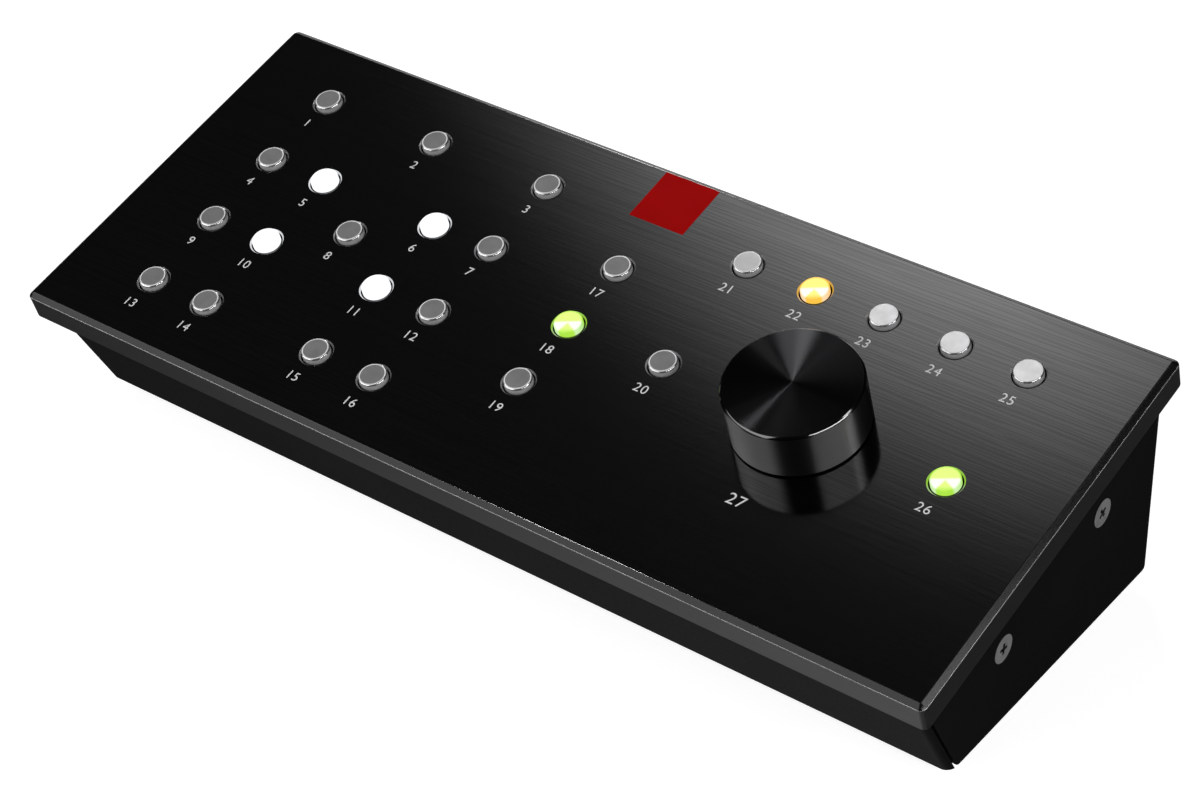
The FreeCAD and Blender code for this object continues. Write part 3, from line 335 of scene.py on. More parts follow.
# Brushing: long fine scratches along X, and the even lay of the belt that made them.
brushing, way_in, way_out = shared_effect("brushing", {"Lines": 3000.0, "Run": 18.0},
                                          ("Scratches", "Bands"))
stretch = brushing.nodes.new("ShaderNodeCombineXYZ")
brushing.links.new(way_in.outputs["Run"], stretch.inputs["X"])
brushing.links.new(way_in.outputs["Lines"], stretch.inputs["Y"])
brushing.links.new(way_in.outputs["Lines"], stretch.inputs["Z"])
drawn = brushing.nodes.new("ShaderNodeVectorMath")
drawn.operation = "MULTIPLY"
brushing.links.new(way_in.outputs["Vector"], drawn.inputs[0])
brushing.links.new(stretch.outputs["Vector"], drawn.inputs[1])
fine = brushing.nodes.new("ShaderNodeTexNoise")
fine.inputs["Scale"].default_value = 1.0
fine.inputs["Detail"].default_value = 4.0
fine.inputs["Roughness"].default_value = 0.7
brushing.links.new(drawn.outputs["Vector"], fine.inputs["Vector"])
lay = brushing.nodes.new("ShaderNodeTexWave")
lay.bands_direction = "Y"
lay.inputs["Scale"].default_value = 0.10
lay.inputs["Distortion"].default_value = 11.0
lay.inputs["Detail"].default_value = 3.0
lay.inputs["Detail Scale"].default_value = 1.5
brushing.links.new(drawn.outputs["Vector"], lay.inputs["Vector"])
brushing.links.new(fine.outputs["Fac"], way_out.inputs["Scratches"])
brushing.links.new(lay.outputs["Fac"], way_out.inputs["Bands"])

# Mottling: soft cloudy unevenness and a finer tooth, for moulded, coated and plated surfaces.
mottling, way_in, way_out = shared_effect("mottling", {"Clouds": 60.0, "Tooth": 2500.0},
                                          ("Cloud", "Grain"))
cloud = mottling.nodes.new("ShaderNodeTexNoise")
cloud.inputs["Detail"].default_value = 3.0
mottling.links.new(way_in.outputs["Vector"], cloud.inputs["Vector"])
mottling.links.new(way_in.outputs["Clouds"], cloud.inputs["Scale"])
tooth = mottling.nodes.new("ShaderNodeTexNoise")
tooth.inputs["Detail"].default_value = 2.0
mottling.links.new(way_in.outputs["Vector"], tooth.inputs["Vector"])
mottling.links.new(way_in.outputs["Tooth"], tooth.inputs["Scale"])
mottling.links.new(cloud.outputs["Fac"], way_out.inputs["Cloud"])
mottling.links.new(tooth.outputs["Fac"], way_out.inputs["Grain"])


def new_finish(name):
    """A material with its Principled shader and the piece's Object coordinates."""
    material = bpy.data.materials.new(name)
    material.use_nodes = True
    tree = material.node_tree
    where = tree.nodes.new("ShaderNodeTexCoord")
    return material, tree, tree.nodes["Principled BSDF"], where.outputs["Object"]


def use_group(tree, group, where, **values):
    """Places a shared effect in a material, with that material's own values."""
    user = tree.nodes.new("ShaderNodeGroup")
    user.node_tree = group
    tree.links.new(where, user.inputs["Vector"])
    for name, value in values.items():
        user.inputs[name].default_value = value
    return user


def between(tree, factor, dark, light):
    """A colour that runs from dark to light with a factor."""
    ramp = tree.nodes.new("ShaderNodeValToRGB")
    ramp.color_ramp.elements[0].position = 0.3
    ramp.color_ramp.elements[0].color = (*dark, 1)
    ramp.color_ramp.elements[1].position = 0.7
    ramp.color_ramp.elements[1].color = (*light, 1)
    tree.links.new(factor, ramp.inputs["Fac"])
    return ramp.outputs["Color"]


def span(tree, factor, low, high, start=0.3, end=0.7):
    """A number that runs from low to high while the factor goes from start to end."""
    scale = tree.nodes.new("ShaderNodeMapRange")
    scale.inputs["From Min"].default_value = start
    scale.inputs["From Max"].default_value = end
    scale.inputs["To Min"].default_value = low
    scale.inputs["To Max"].default_value = high
    tree.links.new(factor, scale.inputs["Value"])
    return scale.outputs["Result"]


def relief(tree, shader, height, strength, depth):
    """Bumps the surface by a height pattern."""
    bump = tree.nodes.new("ShaderNodeBump")
    bump.inputs["Strength"].default_value = strength
    bump.inputs["Distance"].default_value = depth
    tree.links.new(height, bump.inputs["Height"])
    tree.links.new(bump.outputs["Normal"], shader.inputs["Normal"])


def even_finish(name, dark, light, rough, metal=0.0, clouds=60.0, tooth=2500.0, depth=0.00001,
                strength=0.3, specular=0.5):
    """A plain finish with soft mottling, an uneven sheen and a fine tooth."""
    material, tree, shader, where = new_finish(name)
    spots = use_group(tree, mottling, where, Clouds=clouds, Tooth=tooth)
    tree.links.new(between(tree, spots.outputs["Cloud"], dark, light), shader.inputs["Base Color"])
    tree.links.new(span(tree, spots.outputs["Grain"], *rough), shader.inputs["Roughness"])
    shader.inputs["Metallic"].default_value = metal
    shader.inputs["Specular IOR Level"].default_value = specular
    relief(tree, shader, spots.outputs["Grain"], strength, depth)
    return material


plate = start_block("plate", (PLATE_WIDTH, PLATE_DEPTH, PLATE_THICKNESS),
                    (0, 0, -PLATE_THICKNESS / 2))
round_edges(plate, CORNER_RADIUS, 5, lambda a, b: abs(a.z - b.z) > PLATE_THICKNESS / 2)
pick_faces(plate, lambda face: face.normal.z > 0.9)
bpy.ops.mesh.inset(thickness=BEVEL_WIDTH)
leave_edit()
half_x = PLATE_WIDTH / 2 - BEVEL_WIDTH
half_y = PLATE_DEPTH / 2 - BEVEL_WIDTH
pick_corners(plate, lambda at: at.z > -1e-6
             and (abs(at.x) > half_x + 1e-5 or abs(at.y) > half_y + 1e-5))
bpy.ops.transform.translate(value=(0, 0, -BEVEL_DROP))
leave_edit()
round_edges(plate, EDGE_RADIUS, 3, lambda a, b: abs(a.z - b.z) < 1e-6
            and (a.z < -PLATE_THICKNESS + 1e-6 or a.z > -BEVEL_DROP - 0.0001))

# The countersink tool, modelled once and set over every key hole.
TOOL_LENGTH = 0.02
tool = start_round("tool", HOLE_RADIUS, TOOL_LENGTH, (0, 0, -TOOL_LENGTH / 2 - RIM_DEPTH), sides=72)
pick_faces(tool, lambda face: face.normal.z > 0.9)
bpy.ops.mesh.extrude_region_move(TRANSFORM_OT_translate={"value": (0, 0, 2 * RIM_DEPTH)})
widening = (RIM_RADIUS + RIM_DEPTH) / HOLE_RADIUS
bpy.ops.transform.resize(value=(widening, widening, 1))
leave_edit()
tools = [copy_of(tool, "tool_copy", (x, y, 0)) for x, y in KEYS]
bpy.data.objects.remove(tool)
tools.append(start_round("bushing_tool", BUSHING_RADIUS, TOOL_LENGTH, (KNOB_X, 0, 0), sides=72))
cut_away(plate, join(tools, "tools"))


def on_rim(face):
    """True for a face of a countersink, which leans between the plate's top and the hole's wall."""
    x, y, z = face.center
    near = min(math.hypot(x - key[0], y - key[1]) for key in KEYS)
    return 0.3 < face.normal.z < 0.95 and near < RIM_RADIUS + 0.0001


ON_RIM, ON_BEVEL, ON_HIGHLIT_EDGE, ON_SIDE, ON_SHADED_TOP_EDGE = range(1, 6)


def edge_slot(face):
    """Slot of a face on the bevel, on the radii along its two edges, or on the plate's side."""
    if face.normal.z > 0.85:
        return ON_SHADED_TOP_EDGE
    if face.normal.z > 0.75:
        return ON_BEVEL
    return ON_HIGHLIT_EDGE if face.normal.z > 0.05 else ON_SIDE


black_plate, tree, shader, where = new_finish("black_brushed_anodising")
strokes = use_group(tree, brushing, where, Lines=4000.0, Run=120.0)
bands = between(tree, strokes.outputs["Bands"], (0.160, 0.160, 0.162), (0.195, 0.195, 0.198))
tree.links.new(bands, shader.inputs["Base Color"])
tree.links.new(span(tree, strokes.outputs["Scratches"], 0.082, 0.098), shader.inputs["Roughness"])
shader.inputs["Metallic"].default_value = 1.0
relief(tree, shader, strokes.outputs["Scratches"], 0.2, 0.00001)


def lined_finish(name, dark, light, rough, lines=4200.0, run=30.0, metal=1.0, specular=0.5,
                 cut=0.0):
    """Milled or turned metal, and the plate's edge radii painted lighter or darker, whose tone and
    sheen run in fine lines.
    """
    material, tree, shader, where = new_finish(name)
    strokes = use_group(tree, brushing, where, Lines=lines, Run=run)
    scratches = strokes.outputs["Scratches"]
    tree.links.new(between(tree, scratches, dark, light), shader.inputs["Base Color"])
    tree.links.new(span(tree, scratches, *rough), shader.inputs["Roughness"])
    shader.inputs["Metallic"].default_value = metal
    shader.inputs["Specular IOR Level"].default_value = specular
    if cut:
        relief(tree, shader, scratches, cut, 0.00001)
    return material


milled_edge = lined_finish("black_milled_edge", (0.0020, 0.0020, 0.0021), (0.0060, 0.0060, 0.0062),
                           (0.15, 0.22), metal=0.0, specular=0.2, cut=0.4)
milled_side = lined_finish("black_milled_side", (0.007, 0.007, 0.0071), (0.019, 0.019, 0.0193),
                           (0.28, 0.42), metal=0.0, specular=0.3, cut=0.4)
# The two small radii along the bevel's edges: the lower one gets a lighter metal than the plate, so
# its bright line is partly real reflection and partly painted highlight; the upper one gets a
# darker metal, painted shade along the bevel's top edge.
highlit_edge = lined_finish("edge_radius_painted_highlight", (0.40, 0.40, 0.40), (0.46, 0.46, 0.46), (0.38, 0.46))
top_edge_painted_shade = lined_finish("top_edge_painted_shade", (0.035, 0.035, 0.035), (0.055, 0.055, 0.055), (0.38, 0.46))
bright_rim = lined_finish("diamond_cut_rim", (0.62, 0.62, 0.63), (0.80, 0.80, 0.81), (0.16, 0.28),
                          lines=4000.0, run=4000.0)
for finish in (black_plate, bright_rim, milled_edge, highlit_edge, milled_side, top_edge_painted_shade):
    plate.data.materials.append(finish)
for face in plate.data.polygons:
    if on_rim(face):
        face.material_index = ON_RIM
    elif abs(face.normal.z) < 0.99:
        face.material_index = edge_slot(face)
smooth(plate)
lay_on_panel(plate)
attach(plate, "case")
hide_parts("top_plate")


# ---------------------------------------------------------------- case sheet
# One blank of 1.5 mm steel, bent into the leaning front wall with rounded ends, the bottom and
# the upright rear wall, then powder coated black. The two socket holes are punched before
# bending. Its end flanges are spot welded to the side panels.
FLOOR_Z = 0.003
REAR_Y = 0.0421936
FRONT_Y = REAR_Y - 0.0702
LIP_Y = -0.0402250
LIP_Z = 0.0261737
SHEET = 0.0015
SIDE_X = 0.10635
SIDE_SHEET = 0.002
FRONT_BEND = 0.0022
FRONT_LOWER_RADIUS = 0.0009
REAR_LOWER_RADIUS = 0.0014
FLANGE_HEIGHT = 0.008
FLANGE_LAP = 0.0002
TRAY_GAP = 0.0001
SEAM = SHEET + 0.0005
LEAN = (FRONT_Y - LIP_Y) / (LIP_Z - FLOOR_Z)
WALL_RUN = math.sqrt(1 + LEAN * LEAN)
SLOPE = math.tan(PANEL_TILT)


def front_at(setback, z):
    """Y of a line parallel to the front wall's face, set back into the case, at a height."""
    return FRONT_Y - LEAN * (z - FLOOR_Z) + setback * WALL_RUN


def under_plate(setback):
    """(y, z) where such a line meets the plate's underside."""
    gain = setback * WALL_RUN / (1 + LEAN * SLOPE)
    return LIP_Y + gain, LIP_Z + SLOPE * gain


def underside_z(y):
    return LIP_Z + SLOPE * (y - LIP_Y)


def start_profile(name, corners, low_x, high_x):
    """A blank with a given (y, z) outline, drawn out from low_x to high_x."""
    clear_selection()
    bpy.ops.mesh.primitive_circle_add(vertices=len(corners), radius=0.01, fill_type="NGON")
    blank = bpy.context.object
    blank.name = name
    for corner, (y, z) in zip(blank.data.vertices, corners):
        corner.co = (low_x, y, z)
    bpy.ops.object.mode_set(mode="EDIT")
    bpy.ops.mesh.select_all(action="SELECT")
    bpy.ops.mesh.extrude_region_move(TRANSFORM_OT_translate={"value": (high_x - low_x, 0, 0)})
    bpy.ops.mesh.select_all(action="SELECT")
    bpy.ops.mesh.normals_make_consistent(inside=False)
    bpy.ops.object.mode_set(mode="OBJECT")
    return blank


front_wall = start_profile("front_wall", [
    (front_at(0, FLOOR_Z), FLOOR_Z), (front_at(2 * FRONT_BEND, FLOOR_Z), FLOOR_Z),
    under_plate(2 * FRONT_BEND), under_plate(0)], -SIDE_X, SIDE_X)
round_edges(front_wall, FRONT_BEND, 10, lambda a, b: abs(a.x - b.x) < 1e-6
            and abs(a.z - b.z) > 0.01 and abs(a.y - front_at(0, a.z)) < 1e-5)
round_edges(front_wall, FRONT_LOWER_RADIUS, 6, lambda a, b: abs(a.x - b.x) > 0.1
            and abs(a.z - FLOOR_Z) < 1e-6 and abs(b.z - FLOOR_Z) < 1e-6
            and a.y < front_at(0.0001, FLOOR_Z) and b.y < front_at(0.0001, FLOOR_Z))
cut_away(front_wall, start_profile("hollow", [
    (front_at(SHEET, -0.01), -0.01), (front_at(0.02, -0.01), -0.01), (front_at(0.02, 0.05), 0.05),
    (front_at(SHEET, 0.05), 0.05)], -PLATE_WIDTH, PLATE_WIDTH))

tray_half = SIDE_X - SIDE_SHEET - TRAY_GAP
inner_z = FLOOR_Z + SHEET
tray = start_profile("tray", [
    (front_at(SHEET, FLOOR_Z), FLOOR_Z), (REAR_Y, FLOOR_Z), (REAR_Y, underside_z(REAR_Y)),
    (REAR_Y - SHEET, underside_z(REAR_Y - SHEET)), (REAR_Y - SHEET, inner_z),
    (front_at(SHEET, inner_z), inner_z)], -tray_half, tray_half)
round_edges(tray, REAR_LOWER_RADIUS, 6, lambda a, b: abs(a.x - b.x) > 0.1
            and abs(a.y - REAR_Y) < 1e-6 and abs(a.z - FLOOR_Z) < 1e-6)
flanges = []
for side in (-1, 1):
    near_x = side * tray_half
    flanges.append(start_profile("flange", [
        (front_at(SEAM, inner_z), inner_z - FLANGE_LAP), (REAR_Y - SHEET, inner_z - FLANGE_LAP),
        (REAR_Y - SHEET, inner_z + FLANGE_HEIGHT),
        (front_at(SEAM, inner_z + FLANGE_HEIGHT), inner_z + FLANGE_HEIGHT)],
        min(near_x, near_x - side * SHEET), max(near_x, near_x - side * SHEET)))

IO_TOP = 0.0111
USB_HOLE = (0.0126, 0.01, 0.0116)
NETWORK_HOLE = (0.0166, 0.01, 0.014)
usb_hole = start_block("usb_hole", USB_HOLE, (-0.017, REAR_Y, IO_TOP + 0.0055))
net_hole = start_block("net_hole", NETWORK_HOLE, (0.015, REAR_Y, IO_TOP + 0.0067))
cut_away(tray, join([usb_hole, net_hole], "punch"))
case_sheet = join([front_wall, tray] + flanges, "case_sheet")

powder = even_finish("black_powder_coat", (0.0045, 0.0045, 0.0047), (0.0062, 0.0062, 0.0064),
                     (0.42, 0.5), clouds=25.0, tooth=2600.0, depth=0.000006, strength=0.15,
                     specular=0.02)
case_sheet.data.materials.append(powder)
smooth(case_sheet)
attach(case_sheet, "case")
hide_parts("chassis")


# ---------------------------------------------------------------- side panels
# Two flat cheeks of 2 mm steel, cut to the case's wedge and coated with it. They stand between
# the front wall's ends and the rear wall. Each has two countersunk holes for its screws.
SCREW_DROP = 0.0191
SCREW_PLACES = []
for along in (0.0193, -0.0158):
    y = PANEL_PLACE[1] + along * math.cos(PANEL_TILT) + SCREW_DROP * math.sin(PANEL_TILT)
    z = PANEL_PLACE[2] + along * math.sin(PANEL_TILT) - SCREW_DROP * math.cos(PANEL_TILT)
    SCREW_PLACES.append((y, z))
SCREW_CONE = 0.00145
SEAT_MOUTH = 0.0031
SEAT_SHANK = 0.00165
SEAT_LENGTH = 0.008
CHEEK_LOWER_RADIUS = 0.001
CHEEK_EDGE = 0.00015
for side, name in ((-1, "left"), (1, "right")):
    outer = side * SIDE_X
    inner = side * (SIDE_X - SIDE_SHEET)
    cheek = start_profile("cheek_" + name, [
        (front_at(SEAM, FLOOR_Z), FLOOR_Z), (REAR_Y, FLOOR_Z), (REAR_Y, underside_z(REAR_Y)),
        under_plate(SEAM)], min(outer, inner), max(outer, inner))
    round_edges(cheek, CHEEK_LOWER_RADIUS, 6,
                lambda a, b: abs(a.x - b.x) > 0.001 and a.z < FLOOR_Z + 1e-6)
    round_edges(cheek, CHEEK_EDGE, 2,
                lambda a, b: abs(a.x - outer) < 1e-6 and abs(b.x - outer) < 1e-6)
    for y, z in SCREW_PLACES:
        seat = start_round("seat", SEAT_SHANK, SEAT_LENGTH, (0, 0, 0), sides=72)
        pick_faces(seat, lambda face: face.normal.z > 0.9)
        bpy.ops.transform.translate(value=(0, 0, -SEAT_LENGTH / 2 - SCREW_CONE))
        bpy.ops.mesh.extrude_region_move(TRANSFORM_OT_translate={"value": (0, 0, SCREW_CONE)})
        bpy.ops.transform.resize(value=(SEAT_MOUTH / SEAT_SHANK, SEAT_MOUTH / SEAT_SHANK, 1))
        bpy.ops.mesh.extrude_region_move(TRANSFORM_OT_translate={"value": (0, 0, 0.001)})
        leave_edit()
        seat.rotation_euler = (0, side * math.pi / 2, 0)
        seat.location = (outer, y, z)
        make_active(seat)
        settle()
        cut_away(cheek, seat)
    cheek.data.materials.append(powder)
    smooth(cheek)
    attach(cheek, "case")
    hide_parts("side_panel_" + name)


# ---------------------------------------------------------------- side screws
# M3 countersunk cross-head screws, black zinc plated, with their cross recess painted near-black as
# painted shade.
# They go through the cheeks into the brackets.
HEAD_RADIUS = 0.00295
SHANK_RADIUS = 0.0015
SCREW_LENGTH = 0.008
HEAD_EDGE = 0.00006
RECESS_ARM = (0.0036, 0.0009, 0.0026)
RECESS_REACH = 0.0019
IN_RECESS = 1
screw = start_round("screw", HEAD_RADIUS, SCREW_CONE, (0, 0, -SCREW_CONE / 2), sides=64)
pick_faces(screw, lambda face: face.normal.z < -0.9)
bpy.ops.transform.resize(value=(SHANK_RADIUS / HEAD_RADIUS, SHANK_RADIUS / HEAD_RADIUS, 1))
shank = (0, 0, SCREW_CONE - SCREW_LENGTH)
bpy.ops.mesh.extrude_region_move(TRANSFORM_OT_translate={"value": shank})
leave_edit()
round_edges(screw, HEAD_EDGE, 2, lambda a, b: abs(a.z) < 1e-7 and abs(b.z) < 1e-7)
for turn in (0, math.pi / 2):
    arm = start_block("arm", RECESS_ARM, (0, 0, 0))
    pick_corners(arm, lambda at: at.z < 0)
    bpy.ops.transform.resize(value=(0.35, 0.6, 1), center_override=(0, 0, -RECESS_ARM[2] / 2))
    leave_edit()
    arm.rotation_euler = (0, 0, turn)
    make_active(arm)
    settle()
    cut_away(screw, arm)
# The cross recess gets a near-black finish: painted shade in the hollow.
painted_shade_recess = even_finish("painted_shade_recess", (0.003, 0.003, 0.003), (0.008, 0.008, 0.008), (0.6, 0.8),
                          clouds=900.0)
black_zinc = even_finish("black_zinc", (0.17, 0.17, 0.172), (0.22, 0.22, 0.222), (0.35, 0.5),
                         metal=0.3, clouds=500.0, tooth=6000.0)
screw.data.materials.append(black_zinc)
screw.data.materials.append(painted_shade_recess)
# Faces inside the cross recess take the painted shade.
for face in screw.data.polygons:
    x, y, z = face.center
    if -RECESS_ARM[2] / 2 - 0.0001 < z < -0.00002 and math.hypot(x, y) < RECESS_REACH:
        face.material_index = IN_RECESS
smooth(screw)
screws = []
for side in (-1, 1):
    for number, (y, z) in enumerate(SCREW_PLACES):
        twin = copy_of(screw, "screw_copy")
        twin.rotation_euler = (0, 0, math.radians(35 + 50 * number))
        settle()
        twin.rotation_euler = (0, side * math.pi / 2, 0)
        twin.location = (side * SIDE_X, y, z)
        settle()
        screws.append(twin)
bpy.data.objects.remove(screw)
side_screws = join(screws, "cheek_screws")
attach(side_screws, "case")
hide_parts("side_screws")


# ---------------------------------------------------------------- rubber feet
# Four moulded rubber discs with a self-adhesive back, stuck under the corners of the bottom.
# They are black, slightly tapered, with a rounded lower edge.
FOOT_RADIUS = 0.006
FOOT_TIP = 0.0052
FOOT_EDGE = 0.0005
FOOT_SETBACK_X = 0.014
FOOT_SETBACK_Y = 0.011
rubber = even_finish("black_rubber", (0.012, 0.012, 0.012), (0.028, 0.028, 0.028), (0.6, 0.8),
                     clouds=300.0, tooth=5000.0, depth=0.00003, strength=0.5)
foot = start_round("foot", FOOT_TIP, FLOOR_Z, (0, 0, FLOOR_Z / 2), sides=48)
pick_corners(foot, lambda at: at.z > 0.001)
bpy.ops.transform.resize(value=(FOOT_RADIUS / FOOT_TIP, FOOT_RADIUS / FOOT_TIP, 1))
leave_edit()
round_edges(foot, FOOT_EDGE, 4, lambda a, b: a.z < 1e-7 and b.z < 1e-7)
foot.data.materials.append(rubber)
smooth(foot)
feet = []
for x in (-SIDE_X + FOOT_SETBACK_X, SIDE_X - FOOT_SETBACK_X):
    for y in (FRONT_Y + FOOT_SETBACK_Y, REAR_Y - FOOT_SETBACK_Y):
        feet.append(copy_of(foot, "foot_copy", (x, y, 0)))
bpy.data.objects.remove(foot)
feet = join(feet, "feet")
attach(feet, "case")
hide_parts("rubber_feet")


# ---------------------------------------------------------------- keys
# Round moulded caps that slide in the plate's holes: a satin top, a bright bevelled edge and a
# collar under the plate. They are translucent, so a lamp below fills the whole cap with light.
CAP_RADIUS = 0.00295
CAP_RISE = 0.001
COLLAR_TOP = -0.00645
COLLAR_BASE = -0.00725
TOP_RING = 0.00013
CAP_STEP = 0.0007
SHOULDER = 0.00034
WALL_DROP = 0.00045
COLLAR_SIDE = 0.0076
STEM_SIDE = 0.003
STEM_LENGTH = 0.0022
cap = start_round("cap", CAP_RADIUS, CAP_RISE + WALL_DROP, (0, 0, (CAP_RISE - WALL_DROP) / 2),
                  sides=96)
pick_faces(cap, lambda face: face.normal.z < -0.99)
bpy.ops.mesh.extrude_region_move(TRANSFORM_OT_translate={"value": (0, 0, COLLAR_TOP + WALL_DROP)})
leave_edit()
round_edges(cap, SHOULDER, 4, lambda a, b: a.z > CAP_RISE - 1e-7 and b.z > CAP_RISE - 1e-7)
pick_faces(cap, lambda face: face.normal.z > 0.99 and face.center.z > CAP_RISE - 1e-6)
bpy.ops.mesh.inset(thickness=TOP_RING)
for _ in range(3):
    bpy.ops.mesh.inset(thickness=CAP_STEP)
bpy.ops.mesh.poke()
leave_edit()
collar = start_block("collar", (COLLAR_SIDE, COLLAR_SIDE, COLLAR_TOP - COLLAR_BASE),
                     (0, 0, (COLLAR_TOP + COLLAR_BASE) / 2))
stem = start_block("stem", (STEM_SIDE, STEM_SIDE, STEM_LENGTH),
                   (0, 0, COLLAR_BASE - STEM_LENGTH / 2))
cap = join([cap, collar, stem], "cap")

# A flat UV across the cap, with V along the way that the painted gleam in a lit cap points: a
# highlight drawn into its light, on the side facing the camera.
PAINTED_GLEAM_WAY = math.radians(118)
flat = cap.data.uv_layers.new(name="flat")
for loop in cap.data.loops:
    at = cap.data.vertices[loop.vertex_index].co / (2 * CAP_RADIUS)
    flat.data[loop.index].uv = (0.5 + at.x * math.sin(PAINTED_GLEAM_WAY) - at.y * math.cos(PAINTED_GLEAM_WAY),
                                0.5 + at.x * math.cos(PAINTED_GLEAM_WAY) + at.y * math.sin(PAINTED_GLEAM_WAY))


def satin(name, tone, rough, metal=0.0):
    """A satin cap surface of one grey, with its slight unevenness."""
    dark = (tone * 0.9, tone * 0.9, tone * 0.91)
    light = (tone * 1.1, tone * 1.1, tone * 1.11)
    return even_finish(name, dark, light, rough, metal=metal, clouds=400.0, tooth=7000.0,
                       depth=0.000005)


satin_grey = satin("satin_grey_cap", 0.19, (0.32, 0.42))
satin_mid = satin("satin_mid_cap", 0.57, (0.32, 0.42))
satin_pale = satin("satin_pale_cap", 0.86, (0.32, 0.42))
cap_wall = satin("satin_cap_wall", 0.33, (0.25, 0.35))
# The cap's wall below the plate's surface, its collar and its stem are painted near-black, on lit
# caps too: painted shade down in the key hole.
shaded_cap_skirt = satin("satin_cap_skirt_painted_shade", 0.05, (0.3, 0.4))
bright_edge = satin("bright_cap_edge", 0.55, (0.10, 0.16), metal=0.85)
# A pale flat ring round the top of each unlit cap, lighter than the grey tops: a painted highlight
# for the bright line along the top's edge.
painted_highlight_ring = satin("cap_ring_painted_highlight", 0.80, (0.3, 0.4))


def graded(tree, factor, start, end):
    """A colour that runs from one (position, colour) to another."""
    ramp = tree.nodes.new("ShaderNodeValToRGB")
    for step, (position, colour) in zip(ramp.color_ramp.elements, (start, end)):
        step.position = position
        step.color = (*colour, 1)
    tree.links.new(factor, ramp.inputs["Fac"])
    return ramp.outputs["Color"]


def blended(tree, factor, first, second):
    """A colour mixed from two, each of them a socket or plain values."""
    mix = tree.nodes.new("ShaderNodeMix")
    mix.data_type = "RGBA"
    tree.links.new(factor, mix.inputs["Factor"])
    for name, colour in (("A", first), ("B", second)):
        if isinstance(colour, tuple):
            mix.inputs[name].default_value = (*colour, 1)
        else:
            tree.links.new(colour, mix.inputs[name])
    return mix.outputs["Result"]


def glowing(name, deep, body, painted_gleam):
    """A lit cap, deep in colour at its rim and paler inside, with a painted highlight: a white
    gleam, drawn into the emitted light on the side facing the camera, by a coloured cone.

    Places in it are shares of the cap's width, measured along the flat UV.
    """
    material, tree, shader, where = new_finish(name)
    flat = tree.nodes.new("ShaderNodeUVMap")
    flat.uv_map = "flat"
    away = tree.nodes.new("ShaderNodeVectorMath")
    away.operation = "DISTANCE"
    away.inputs[1].default_value = (0.5, 0.47, 0.0)
    tree.links.new(flat.outputs["UV"], away.inputs[0])
    parts = tree.nodes.new("ShaderNodeSeparateXYZ")
    tree.links.new(flat.outputs["UV"], parts.inputs["Vector"])
    height = parts.outputs["Y"]
    aside = worked(tree, "ABSOLUTE", worked(tree, "SUBTRACT", parts.outputs["X"], 0.5))
    roof = worked(tree, "MULTIPLY_ADD", aside, 1.25, height)
    # The white belt is a painted highlight in the cap's emitted light; the glow of the lamp below
    # is real.
    painted_gleam_belt = graded(tree, height, (0.44, painted_gleam), (0.53, body))
    foot = tuple((one + other) / 2 for one, other in zip(deep, body))
    cone = graded(tree, height, (0.05, foot), (0.20, body))
    inside = blended(tree, span(tree, roof, 1.0, 0.0, 0.36, 0.50), painted_gleam_belt, cone)
    glow = blended(tree, span(tree, away.outputs["Value"], 0.0, 0.8, 0.43, 0.50), inside, deep)
    spots = use_group(tree, mottling, where, Clouds=500.0, Tooth=7000.0)
    tree.links.new(between(tree, spots.outputs["Cloud"], tuple(0.2 * tone for tone in deep),
                           tuple(0.3 * tone for tone in deep)), shader.inputs["Base Color"])
    shader.inputs["Specular IOR Level"].default_value = 0.2
    tree.links.new(glow, shader.inputs["Emission Color"])
    shader.inputs["Emission Strength"].default_value = 1.0
    tree.links.new(span(tree, spots.outputs["Grain"], 0.3, 0.4), shader.inputs["Roughness"])
    return material


lit_white = glowing("lit_white_cap", (0.88, 0.90, 0.93), (1.0, 1.0, 1.0), (1.0, 1.0, 1.0))
lit_green = glowing("lit_green_cap", (0.24, 0.62, 0.0), (0.78, 0.95, 0.25), (1.0, 1.0, 0.95))
lit_amber = glowing("lit_amber_cap", (0.84, 0.38, 0.0), (1.0, 0.90, 0.25), (1.0, 1.0, 0.95))
LIT = {5: lit_white, 6: lit_white, 10: lit_white, 11: lit_white, 18: lit_green, 26: lit_green,
       22: lit_amber}
PALE = {21: satin_mid, 23: satin_pale, 24: satin_pale, 25: satin_pale}
ON_CAP, ON_SHOULDER, ON_WALL, ON_SHADED_SKIRT, ON_RING = range(5)
for number, (x, y) in enumerate(KEYS, 1):
    key = copy_of(cap, "key_%02d" % number, (x, y, 0))
    lamp_colour = LIT.get(number)
    for finish in (PALE.get(number, satin_grey), bright_edge, cap_wall, shaded_cap_skirt, painted_highlight_ring):
        key.data.materials.append(finish if finish is shaded_cap_skirt else lamp_colour or finish)
    for face in key.data.polygons:
        out = math.hypot(face.center.x - x, face.center.y - y)
        if face.normal.z > 0.98 and face.center.z > 0:
            face.material_index = ON_CAP if out < CAP_RADIUS - SHOULDER - TOP_RING else ON_RING
        elif face.normal.z > 0.15 and face.center.z > 0:
            face.material_index = ON_SHOULDER
        else:
            # Below the plate's surface the wall takes the painted shade.
            face.material_index = ON_WALL if face.center.z > -WALL_DROP else ON_SHADED_SKIRT
    smooth(key, 25)
    lay_on_panel(key)
    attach(key, "button_%02d_key" % number)
    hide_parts("button_%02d" % number)
bpy.data.objects.remove(cap)


